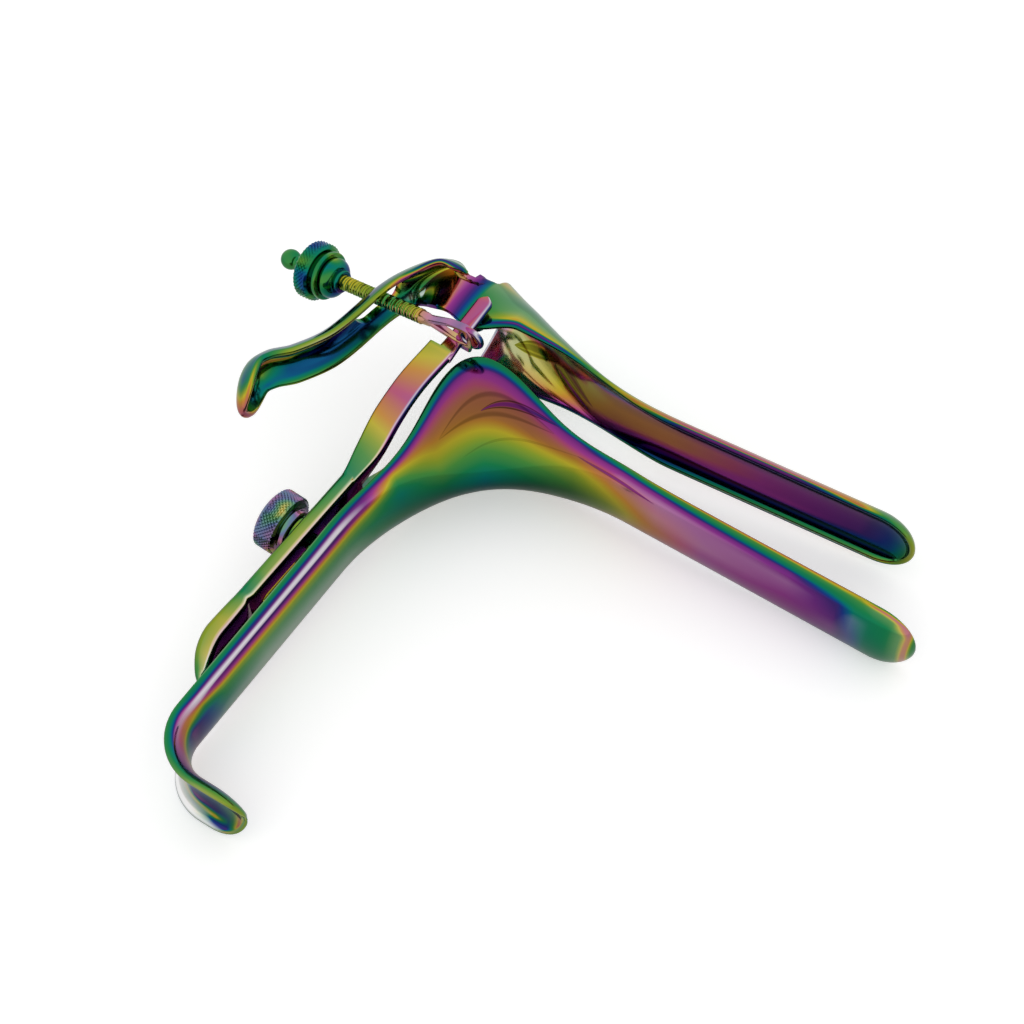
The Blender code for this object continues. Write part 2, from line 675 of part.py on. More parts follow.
for side in (-1.0, 1.0):
    label = "near" if side < 0.0 else "far"
    bm = bmesh.new()
    sections = []
    for i, (x, y, z, width, thickness) in enumerate(arm_path):
        before = arm_path[max(i - 1, 0)]
        after = arm_path[min(i + 1, len(arm_path) - 1)]
        heading = Vector((0.0, side * (after[1] - before[1]), after[2] - before[2])).normalized()
        if i == 0:
            heading = Vector((0.0, 0.0, 1.0))
        thick = Vector((0.0, heading.z, -heading.y))
        sections.append(bar_section((x, side * y, z), (1.0, 0.0, 0.0), thick, width, thickness))
    loft(bm, sections)
    arm = finish("arm_" + label, bm, (0.5, 0.5, 0.5))
    boolean(frame, arm, "UNION")

    bm = bmesh.new()
    sections = []
    lug_round = 0.5 * LUG_WIDTH
    lug_heights = [(LUG_STEP_Z - 2.0, LUG_WIDTH + 0.6), (LUG_STEP_Z + 2.5, LUG_WIDTH)]
    for k in range(6):
        angle = 0.5 * pi * k / 5
        lug_heights.append((LUG_TOP_Z - lug_round * (1.0 - sin(angle)), LUG_WIDTH * max(cos(angle), 0.1)))
    for z, width in lug_heights:
        sections.append(bar_section(
            (HINGE_X, side * ARM_Y, z), (1.0, 0.0, 0.0), (0.0, 1.0, 0.0), width, ARM_THICKNESS - 0.3,
        ))
    loft(bm, sections)
    boolean(frame, finish("lug_" + label, bm, (0.5, 0.5, 0.5)), "UNION")

    hole = rod(
        "pin_seat_" + label, side * (ARM_INNER - 1.0), side * (PIN_END + FIT),
        0.5 * PIN_DIAMETER + HINGE_FIT, SIDE_TURN, (HINGE_X, 0.0, HINGE_Z),
    )
    boolean(frame, hole, "DIFFERENCE")

UP_TURN = Matrix.Rotation(-0.5 * pi, 3, "Y")
eye_ring = rod("eye_ring", -0.5 * EYE_THICKNESS, 0.5 * EYE_THICKNESS, 0.5 * EYE_DIAMETER, UP_TURN, EYE)
boolean(frame, eye_ring, "UNION")
neck_half = 0.5 * EYE_THICKNESS - 0.1
neck_back = HINGE_X + 0.4
neck = prism(
    "eye_neck",
    ((neck_back, EYE_Z - neck_half), (EYE_X, EYE_Z - neck_half),
     (EYE_X, EYE_Z + neck_half), (neck_back, EYE_Z + neck_half)),
    -(ARM_OUTER + EYE_REACH - 0.5 * EYE_HOLE), -(ARM_INNER + 0.8),
)
boolean(frame, neck, "UNION")
eye_hole = rod("eye_hole", -3.0, 3.0, 0.5 * EYE_HOLE, UP_TURN, EYE)
boolean(frame, eye_hole, "DIFFERENCE")

# The slot in the stem, with round ends, for the stud
slot_radius = 0.5 * STUD_DIAMETER + SLOT_SIDE_GAP
slot_low = STUD_Z - SLOT_UP
slot_high = STUD_Z + SLOT_DOWN
slot_outline = []
for k in range(13):
    angle = pi * k / 12
    slot_outline.append((slot_radius * cos(angle), slot_high - STUD_Z + slot_radius * sin(angle)))
for k in range(13):
    angle = pi + pi * k / 12
    slot_outline.append((slot_radius * cos(angle), slot_low - STUD_Z + slot_radius * sin(angle)))
stem_up = Vector((sin(STEM_LEAN), 0.0, cos(STEM_LEAN)))
stud_axis = Vector((-cos(STEM_LEAN), 0.0, sin(STEM_LEAN)))
stem_turn = Matrix((Vector((0.0, -1.0, 0.0)), -stud_axis, stem_up)).transposed()
if stem_turn.determinant() < 0.0:
    stem_turn = Matrix((Vector((0.0, 1.0, 0.0)), -stud_axis, stem_up)).transposed()
stem_middle = Vector((stem_x(STUD_Z), 0.0, STUD_Z))
stem_slot = prism("stem_slot", slot_outline, -6.0, 6.0, turn=stem_turn, origin=stem_middle)
boolean(frame, stem_slot, "DIFFERENCE")

# Stud, washer and nut stand square to the stem
STUD_TURN = Matrix((stud_axis, Vector((0.0, -1.0, 0.0)), stem_up)).transposed()
if STUD_TURN.determinant() < 0.0:
    STUD_TURN = Matrix((stud_axis, Vector((0.0, 1.0, 0.0)), stem_up)).transposed()
STUD_ORIGIN = stem_middle + stud_axis * (0.5 * STEM_THICKNESS)
floor_radius = BEND_RADIUS + WALL
bend_centre_z = BLADE_SPINE_Z - BEND_RADIUS
floor_x = BEND_CENTRE_X - sqrt(floor_radius ** 2 - (STUD_Z - bend_centre_z) ** 2)
stud_root = (STUD_ORIGIN.x - floor_x) / cos(STEM_LEAN) + FIT + 0.3
washer_start = FIT
washer_end = washer_start + WASHER_THICKNESS
bead_start = washer_end + FIT
bead_end = bead_start + HANDLE_BEAD_LENGTH
handle_nut_end = bead_end + HANDLE_NUT_LENGTH
stud_end = handle_nut_end - STUD_INSET
stud_radius = 0.5 * STUD_DIAMETER
bore = stud_radius + SCREW_GAP

bm = bmesh.new()
turned(bm, (
    (stud_root, 0.0), (stud_root, stud_radius + 1.0), (stud_root + 1.0, stud_radius + 1.0),
    (stud_root + 1.0, stud_radius), (stud_end - 0.8, stud_radius), (stud_end, stud_radius - 0.8),
    (stud_end, 0.0),
))
finish("handle_stud", bm, (0.3, 0.4, 0.3), origin=STUD_ORIGIN, turn=STUD_TURN)

bm = bmesh.new()
radius = 0.5 * WASHER_DIAMETER
turned(bm, (
    (washer_start, bore), (washer_start, radius - 0.4), (washer_start + 0.4, radius),
    (washer_end - 0.4, radius), (washer_end, radius - 0.4), (washer_end, bore),
))
finish("handle_washer", bm, (0.1, 0.5, 0.45), origin=STUD_ORIGIN, turn=STUD_TURN)

bm = bmesh.new()
bead = 0.5 * HANDLE_BEAD_DIAMETER
radius = 0.5 * HANDLE_NUT_DIAMETER
turned(bm, (
    (bead_start, bore), (bead_start, bead - 0.7), (bead_start + 0.6, bead),
    (bead_end - 0.6, bead), (bead_end, bead - 0.7), (bead_end, radius - 1.0),
    (bead_end + 0.6, radius), (handle_nut_end - 0.9, radius), (handle_nut_end, radius - 1.4),
    (handle_nut_end, bore),
))
finish("handle_nut", bm, (0.45, 0.3, 0.45), origin=STUD_ORIGIN, turn=STUD_TURN)

# Lever screw: link plate, slot for the eyelet, plain shaft (its thread is fine)
screw_radius = 0.5 * SCREW_DIAMETER
link_front = -0.5 * LINK_BAR
link_back = link_front + LINK_LENGTH
wide = 0.5 * LINK_WIDTH
narrow = 0.5 * LINK_NECK_WIDTH
outline = (
    (link_front, -wide + 1.0), (link_front + 1.0, -wide), (link_front + 0.35 * LINK_LENGTH, -wide),
    (link_back - 1.0, -narrow), (link_back, -narrow + 0.8), (link_back, narrow - 0.8),
    (link_back - 1.0, narrow), (link_front + 0.35 * LINK_LENGTH, wide), (link_front + 1.0, wide),
    (link_front, wide - 1.0),
)
half_link = 0.5 * LINK_THICKNESS
lever_screw = prism("lever_screw", outline, -half_link, half_link, turn=SCREW_TURN, origin=EYE)
slot_front = link_front + LINK_BAR
slot_back = slot_front + LINK_SLOT_LENGTH
opening = wide - LINK_STRAND
slot_outline = (
    (slot_front, -opening), (slot_front + 0.3 * LINK_SLOT_LENGTH, -opening),
    (slot_back - 0.8, -0.4 * opening), (slot_back, 0.0), (slot_back - 0.8, 0.4 * opening),
    (slot_front + 0.3 * LINK_SLOT_LENGTH, opening), (slot_front, opening),
)
link_slot = prism("link_slot", slot_outline, -3.0, 3.0, turn=SCREW_TURN, origin=EYE)
boolean(lever_screw, link_slot, "DIFFERENCE")
ball_radius = 0.5 * BALL_DIAMETER
ball_face = BALL_DISTANCE - ball_radius - 0.4
bm = bmesh.new()
shaft_start = link_back - 2.4
turned(bm, (
    (shaft_start, 0.0), (shaft_start, screw_radius - 0.8), (shaft_start + 0.8, screw_radius),
    (ball_face - FIT, screw_radius), (ball_face - FIT, 0.0),
))
shaft = finish("shaft", bm, (0.4, 0.45, 0.3), origin=EYE, turn=SCREW_TURN)
boolean(lever_screw, shaft, "UNION")

bm = bmesh.new()
profile = [(ball_face, 0.0), (ball_face, 0.62 * ball_radius)]
ball_from = acos(-0.78)
for k in range(11):
    angle = ball_from * (1.0 - k / 10)
    profile.append((BALL_DISTANCE + ball_radius * cos(angle), ball_radius * sin(angle)))
turned(bm, profile[:-1] + [(BALL_DISTANCE + ball_radius, 0.0)])
finish("screw_end_ball", bm, (0.05, 0.4, 0.3), origin=EYE, turn=SCREW_TURN)

# Nut and seat on the lever screw, placed from the ball
nut_back = BALL_DISTANCE - ball_radius - BALL_NECK
nut_front = nut_back - LEVER_NUT_LENGTH
groove_front = nut_front - LEVER_NUT_GROOVE_LENGTH
flange_front = groove_front - LEVER_NUT_FLANGE_LENGTH
seat_back = flange_front - FIT
seat_front = seat_back - SEAT_LENGTH
neck_front = seat_front - SEAT_NECK_LENGTH
bore = screw_radius + SCREW_GAP

bm = bmesh.new()
radius = 0.5 * LEVER_NUT_DIAMETER
flange = 0.5 * LEVER_NUT_FLANGE
groove = 0.5 * LEVER_NUT_GROOVE
turned(bm, (
    (flange_front, bore), (flange_front, flange - 0.3), (flange_front + 0.4, flange),
    (groove_front - 0.3, flange), (groove_front, groove), (nut_front, groove),
    (nut_front, radius - 0.9), (nut_front + 0.6, radius), (nut_back - 0.9, radius),
    (nut_back, radius - 1.4), (nut_back, bore),
))
finish("lever_nut", bm, (0.15, 0.4, 0.3), origin=EYE, turn=SCREW_TURN)

bm = bmesh.new()
dome = 0.5 * SEAT_DIAMETER
neck_radius = 0.5 * SEAT_NECK_DIAMETER
profile = [(seat_back, bore), (seat_back, dome - 0.2)]
for k in range(6):
    angle = 0.5 * pi * k / 5
    rise = (1.0 - cos(angle)) * (dome - neck_radius)
    profile.append((seat_back - 0.5 - (SEAT_LENGTH - 0.5) * sin(angle), dome - rise))
profile += [(neck_front, neck_radius), (neck_front, bore)]
turned(bm, profile)
finish("lever_nut_seat", bm, (0.3, 0.2, 0.25), origin=EYE, turn=SCREW_TURN)


# The instrument lies on its far side, on the far lug, the hook's rim and the lower blade's rim
def points_of(name):
    graph = bpy.context.evaluated_depsgraph_get()
    shaped = bpy.data.objects[name].evaluated_get(graph)
    mesh = shaped.to_mesh()
    flat = np.empty(3 * len(mesh.vertices))
    mesh.vertices.foreach_get("co", flat)
    place = np.array(shaped.matrix_world)
    return flat.reshape(-1, 3) @ place[:3, :3].T + place[:3, 3]


bpy.context.view_layer.update()
frame_points = points_of("frame")
lower_points = points_of("lower_blade")
hook_points = lower_points[lower_points[:, 2] < MM * (bend_centre_z - 0.5 * HANDLE_LENGTH)]
tip_points = lower_points[lower_points[:, 0] > MM * 0.5 * BLADE_TIP_X]
down = np.array((0.0, 1.0, 0.0))
for turn in range(8):
    rests = [group[np.argmax(group @ down)] for group in (frame_points, hook_points, tip_points)]
    down = np.cross(rests[1] - rests[0], rests[2] - rests[0])
    down *= np.sign(down[1]) / np.linalg.norm(down)
across = np.array((1.0, 0.0, 0.0)) - down * down[0]
across /= np.linalg.norm(across)
lying = np.array((across, np.cross(-down, across), -down))

everything = np.vstack([
    points_of(made.name) for made in bpy.data.objects if made.type == "MESH" and not made.hide_render
]) @ lying.T
low = everything.min(axis=0)
high = everything.max(axis=0)
speculum.rotation_euler = Matrix(lying.tolist()).to_euler()
speculum.location = (-0.5 * (low[0] + high[0]), -0.5 * (low[1] + high[1]), -low[2])
bpy.context.view_layer.update()
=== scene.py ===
import json
import bpy
import bmesh
import numpy as np
from math import cos, cosh, hypot, pi, radians, sin, sqrt, tan
from mathutils import Matrix, Vector, kdtree


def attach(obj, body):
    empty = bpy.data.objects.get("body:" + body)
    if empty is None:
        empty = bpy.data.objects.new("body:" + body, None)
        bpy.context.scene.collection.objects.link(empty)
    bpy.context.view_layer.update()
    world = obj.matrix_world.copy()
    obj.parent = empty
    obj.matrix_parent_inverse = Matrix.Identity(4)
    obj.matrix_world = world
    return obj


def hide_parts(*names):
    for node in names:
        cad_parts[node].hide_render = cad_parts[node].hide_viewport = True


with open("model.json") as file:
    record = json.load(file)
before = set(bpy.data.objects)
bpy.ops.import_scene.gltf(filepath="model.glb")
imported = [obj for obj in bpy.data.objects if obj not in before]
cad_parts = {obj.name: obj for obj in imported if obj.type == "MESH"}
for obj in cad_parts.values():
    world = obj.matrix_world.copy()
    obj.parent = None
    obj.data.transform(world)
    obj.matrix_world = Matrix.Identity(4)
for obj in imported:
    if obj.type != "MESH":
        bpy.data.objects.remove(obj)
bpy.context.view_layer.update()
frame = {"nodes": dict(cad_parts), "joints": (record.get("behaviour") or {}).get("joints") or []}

# Lower blade, handle and hook: one strip of stainless steel, pressed to a channel, bent square and
# hooked at its end, mirror polished all over and coloured by a thin oxide film.
# The instrument lies on its side: x runs to the blade tips, y away and z up from the lower blade.
MM = 0.001
STEM_LEAN = radians(3.0)
joints = {joint["name"]: joint for joint in frame["joints"]}
HINGE_X = -29.3
HINGE_Z = 31.0
upward = Vector(joints["frame_slide"]["axis"])
away = -Vector(joints["blade_hinge"]["axis"])
tipward = sin(STEM_LEAN) * upward + cos(STEM_LEAN) * away.cross(upward)
risen = cos(STEM_LEAN) * upward - sin(STEM_LEAN) * away.cross(upward)
lying = Matrix((tipward, away, risen)).transposed()
resting = Vector(joints["blade_hinge"]["pos_m"]) - lying @ (MM * Vector((HINGE_X, 0.0, HINGE_Z)))
lying_rows = np.array(lying)


def laid(points):
    """Points of the upright instrument in millimetres, as they lie, in metres."""
    return MM * np.asarray(points, float) @ lying_rows.T + np.array(resting)


def new_group(name, kind, inputs, outputs):
    """Node group with named sockets: its tree, what it is given, and the node for what it puts out."""
    tree = bpy.data.node_groups.new(name, kind)
    for way, sockets in (("INPUT", inputs), ("OUTPUT", outputs)):
        for socket, sort in sockets.items():
            tree.interface.new_socket(socket, in_out=way, socket_type="NodeSocket" + sort)
    return tree, tree.nodes.new("NodeGroupInput").outputs, tree.nodes.new("NodeGroupOutput")


def feed(tree, node, inputs):
    """Sets a node's inputs to fixed values, or links them to other nodes' outputs."""
    for socket, value in inputs.items():
        if isinstance(value, bpy.types.NodeSocket):
            tree.links.new(value, node.inputs[socket])
        else:
            node.inputs[socket].default_value = value


def add(tree, kind, inputs=None, **settings):
    """Adds a node with its settings and inputs, and gives its outputs."""
    node = tree.nodes.new(kind)
    for name, value in settings.items():
        setattr(node, name, value)
    feed(tree, node, inputs or {})
    return node.outputs


def calculated(tree, how, *values):
    """Result of a sum on fixed values and other nodes' outputs."""
    return add(tree, "ShaderNodeMath", dict(enumerate(values)), operation=how)[0]


def rainbow_group():
    """Colour of the oxide film: it runs round the interference colours as the film grows thicker.
    Painted light under 1 darkens the colour, as painted shade and dark reflections, and over 1 mixes it with
    white, as painted highlights."""
    tree, given, result = new_group(
        "rainbow_film_with_painted_light", "ShaderNodeTree", {"Film": "Float", "Painted Light": "Float"}, {"Colour": "Color"},
    )
    stops = (
        (0.00, (0.340, 0.046, 0.270)), (0.09, (0.200, 0.030, 0.230)), (0.18, (0.060, 0.026, 0.180)),
        (0.26, (0.014, 0.040, 0.230)), (0.34, (0.006, 0.100, 0.230)), (0.43, (0.004, 0.190, 0.150)),
        (0.52, (0.012, 0.215, 0.075)), (0.60, (0.070, 0.270, 0.050)), (0.68, (0.260, 0.350, 0.030)),
        (0.75, (0.520, 0.430, 0.030)), (0.82, (0.560, 0.250, 0.040)), (0.88, (0.500, 0.170, 0.090)),
        (0.94, (0.470, 0.085, 0.180)), (1.00, (0.340, 0.046, 0.270)),
    )
    ramp = tree.nodes.new("ShaderNodeValToRGB")
    while len(ramp.color_ramp.elements) < len(stops):
        ramp.color_ramp.elements.new(0.5)
    for element, (place, colour) in zip(ramp.color_ramp.elements, stops):
        element.position = place
        element.color = (*colour, 1.0)
    feed(tree, ramp, {"Fac": calculated(tree, "FRACT", given["Film"])})
    dark = calculated(tree, "MINIMUM", given["Painted Light"], 1.0)
    shade = add(tree, "ShaderNodeVectorMath", {0: ramp.outputs["Color"], "Scale": dark}, operation="SCALE")
    over = add(tree, "ShaderNodeMath", {0: given["Painted Light"], 1: 1.0}, operation="SUBTRACT", use_clamp=True)
    bright = add(tree, "ShaderNodeMix", {
        "Factor": over[0], "A": shade["Vector"], "B": (0.93, 0.93, 0.93, 1.0),
    }, data_type="RGBA")
    feed(tree, result, {"Colour": bright["Result"]})
    return tree


rainbow_film_with_painted_light = rainbow_group()


def film_metal(name, roughness=0.1, film=None, drift=0.0, tone=1.0, grain=900.0):
    """Polished steel under the film, with painted light that darkens it as painted shade and whitens it as
    painted highlights.
    Without a film value the thickness and painted light are read from the piece's attributes; with one the
    thickness drifts along the piece."""
    made = bpy.data.materials.new(name)
    made.use_nodes = True
    tree = made.node_tree
    place = add(tree, "ShaderNodeTexCoord")["Object"]
    if film is None:
        film, tone = (add(tree, "ShaderNodeAttribute", attribute_name=a)["Fac"] for a in ("film", "tone"))
    else:
        cloud = add(tree, "ShaderNodeTexNoise", {"Vector": place, "Scale": 160.0, "Detail": 1.0})
        film = add(tree, "ShaderNodeMapRange", {
            "Value": cloud["Fac"], "To Min": film - drift, "To Max": film + drift,
        })["Result"]
    colour = add(tree, "ShaderNodeGroup", {"Film": film, "Painted Light": tone}, node_tree=rainbow_film_with_painted_light)
    polish = add(tree, "ShaderNodeTexNoise", {"Vector": place, "Scale": grain, "Detail": 3.0})
    rough = add(tree, "ShaderNodeMapRange", {
        "Value": polish["Fac"], "To Min": 0.75 * roughness, "To Max": 1.4 * roughness,
    })
    feed(tree, tree.nodes["Principled BSDF"], {
        "Metallic": 1.0, "Base Color": colour["Colour"], "Roughness": rough["Result"],
    })
    return made


def smooth(a, b, x):
    """Eased step: 0 up to a, 1 from b on."""
    t = min(max((x - a) / (b - a), 0.0), 1.0)
    return t * t * (3.0 - 2.0 * t)


def end_share(distance, length):
    """Size left of a rounded end at a distance from its tip: 0 at the tip, 1 past it."""
    u = 1.0 - min(max(distance / length, 0.0), 1.0)
    return sqrt(max(1.0 - u * u, 0.0))


def bands(table, s, f):
    """Film and painted light at a place, read between the bands of the nearest stations."""
    places = [row[0] for row in table]
    i = min(max(int(np.searchsorted(places, s)) - 1, 0), len(table) - 2)
    t = min(max((s - places[i]) / (places[i + 1] - places[i]), 0.0), 1.0)
    pair = []
    for row in (table[i][1], table[i + 1][1]):
        across = [band[0] for band in row]
        pair.append([np.interp(f, across, [band[k] for band in row]) for k in (1, 2)])
    return [pair[0][k] * (1.0 - t) + pair[1][k] * t for k in (0, 1)]


def vertex_normals(points, faces):
    """Directions out of a surface at its points, each weighed by its faces' areas."""
    total = np.zeros_like(points)
    for face in faces:
        a, b, c = points[face[0]], points[face[1]], points[face[2]]
        d = points[face[-1]]
        area = np.cross(c - a, d - b) if len(face) == 4 else np.cross(b - a, c - a)
        for k in face:
            total[k] += area
    return total / (np.linalg.norm(total, axis=1, keepdims=True) + 1e-12)


def mark_points(mesh, **columns):
    """Writes values on a mesh's points, for its material to read."""
    for name, values in columns.items():
        if name not in mesh.attributes:
            mesh.attributes.new(name, "FLOAT", "POINT")
        mesh.attributes[name].data.foreach_set("value", np.ascontiguousarray(values, np.float32))


def new_object(name, data):
    """Object in the scene, at the origin, that shows a mesh or a camera."""
    made = bpy.data.objects.new(name, data)
    bpy.context.scene.collection.objects.link(made)
    return made


def nearby(points):
    """Tree that finds the nearest of the points."""
    tree = kdtree.KDTree(len(points))
    for k, point in enumerate(points):
        tree.insert(point, k)
    tree.balance()
    return tree


def pressed_sheet(name, points, faces, walls, front, back, metal):
    """Closed sheet with rounded rims. The given surface is its front, and its walls lie behind it.
    Front and back hold each point's film and painted light, and its places along and across for the painted
    reflections."""
    rim_step = 0.05
    rounded = np.round(np.asarray(points, float), 3)
    first, place = np.unique(rounded, axis=0, return_index=True, return_inverse=True)[1:]
    place = np.asarray(place).ravel()
    points, walls, front, back = (np.asarray(part, float)[first] for part in (points, walls, front, back))
    welded = []
    for face in faces:
        corners = list(dict.fromkeys(int(place[k]) for k in face))
        if len(corners) > 2:
            welded.append(corners)
    normals = vertex_normals(points, welded)
    middle = points - 0.5 * walls[:, None] * normals
    used = {}
    for face in welded:
        for a, b in zip(face, face[1:] + face[:1]):
            key = (min(a, b), max(a, b))
            used[key] = used.get(key, 0) + 1
    border = [key for key, count in used.items() if count == 1]
    samples = []
    for a, b in border:
        count = max(int(np.linalg.norm(middle[b] - middle[a]) / rim_step), 1)
        samples += [middle[a] + (middle[b] - middle[a]) * k / count for k in range(count + 1)]
    rim = nearby(samples)
    on_border = set(k for edge in border for k in edge)
    count = len(points)
    half = np.zeros(count)
    for k in range(count):
        if k not in on_border:
            share = min(rim.find(middle[k])[2] / (0.5 * walls[k]), 1.0)
            half[k] = 0.5 * walls[k] * sqrt(1.0 - (1.0 - share) ** 2)
    both = np.vstack((middle + normals * half[:, None], middle - normals * half[:, None]))
    films = np.vstack((front, back))
    second = [k if k in on_border else count + k for k in range(count)]
    solid = welded + [[second[k] for k in reversed(face)] for face in welded]
    kept = np.array(sorted(set(k for face in solid for k in face)))
    renumbered = {int(k): i for i, k in enumerate(kept)}
    mesh = bpy.data.meshes.new(name)
    mesh.from_pydata(laid(both[kept]).tolist(), [], [[renumbered[k] for k in face] for face in solid])
    mark_points(mesh, **dict(zip(("film", "tone", "along", "across"), films[kept].T)))
    mesh.shade_smooth()
    mesh.materials.append(metal)
    return new_object(name, mesh)


def grid_faces(rows, columns, start=0):
    """Four-sided faces between rows of points."""
    faces = []
    for i in range(rows - 1):
        for j in range(columns - 1):
            a = start + i * columns + j
            faces.append([a, a + 1, a + columns + 1, a + columns])
    return faces


def crowded(count, share=0.12):
    """Places from 0 to 1 that stand close together at both ends."""
    even = np.linspace(0.0, 1.0, count)
    round_ends = 0.5 - 0.5 * np.cos(pi * even)
    return even * (1.0 - share) * 0.35 + round_ends * (1.0 - (1.0 - share) * 0.35)


WALL = 1.3
BLADE_RIM_Z = 18.0
BLADE_DEPTH = 5.0
BLADE_HALF_WIDTH = 9.5
BLADE_TIP_X = 90.0
BLADE_TIP_ROUND = 9.4
BEND_RADIUS = 44.0
BEND_CENTRE_X = 20.2
HANDLE_LEAN = radians(1.8)
HANDLE_LENGTH = 50.2
HANDLE_DEPTH = 4.4
HANDLE_HALF_WIDTH = 9.9
WING_RISE = 21.0
WING_ANGLE = radians(50.2)
WING_SPREAD = 10.8
WING_HALF_WIDTH = 13.1
HOOK_RADIUS = 8.3
HOOK_REACH = 11.6
HOOK_TIP_ROUND = 8.5
HOOK_TIP_LEVEL = 0.35
BLADE_STRAIGHT = BLADE_TIP_X - BEND_CENTRE_X
LOWER_PATH = (
    (BLADE_STRAIGHT, 0.0),
    (BEND_RADIUS * (0.5 * pi - HANDLE_LEAN), 1.0 / BEND_RADIUS),
    (HANDLE_LENGTH, 0.0),
    (HOOK_RADIUS * (0.5 * pi + HANDLE_LEAN), 1.0 / HOOK_RADIUS),
    (HOOK_REACH, 0.0),
)
LOWER_LENGTH = sum(length for length, curvature in LOWER_PATH)
BEND_START = BLADE_STRAIGHT
HANDLE_START = BEND_START + LOWER_PATH[1][0]
WING_PLACE = BEND_START + BEND_RADIUS * (0.5 * pi - WING_ANGLE)


def lower_spine(s):
    """Point and heading of the channel's floor at a distance from the blade tip."""
    x = BLADE_TIP_X
    z = BLADE_RIM_Z - BLADE_DEPTH
    heading = pi
    for length, curvature in LOWER_PATH:
        run = min(s, length)
        if curvature == 0.0:
            x += run * cos(heading)
            z += run * sin(heading)
        else:
            turned = heading + run * curvature
            x += (sin(turned) - sin(heading)) / curvature
            z -= (cos(turned) - cos(heading)) / curvature
            heading = turned
        s -= run
        if s <= 0.0:
            break
    return x, z, heading


def lower_surface(s, f):
    """Outer face of the channel: f runs from the near rim over the floor to the far rim."""
    x, z, heading = lower_spine(s)
    wing = 1.0 / cosh((s - WING_PLACE) / WING_SPREAD) ** 2
    flare = 1.0 / cosh((s - WING_PLACE) / (1.5 * WING_SPREAD)) ** 2
    grip = smooth(BEND_START, HANDLE_START, s)
    width = BLADE_HALF_WIDTH + (HANDLE_HALF_WIDTH - BLADE_HALF_WIDTH) * grip
    width += (WING_HALF_WIDTH - width) * flare
    depth = BLADE_DEPTH + (HANDLE_DEPTH - BLADE_DEPTH) * grip + WING_RISE * wing
    share = end_share(s, BLADE_TIP_ROUND) * end_share(LOWER_LENGTH - s, HOOK_TIP_ROUND)
    level = 1.0 if s < 0.5 * LOWER_LENGTH else HOOK_TIP_LEVEL
    rise = depth * (level + (1.0 - sin(pi * f) - level) * share)
    side = -width * share * cos(pi * f)
    return x + rise * sin(heading), side, z - rise * cos(heading)
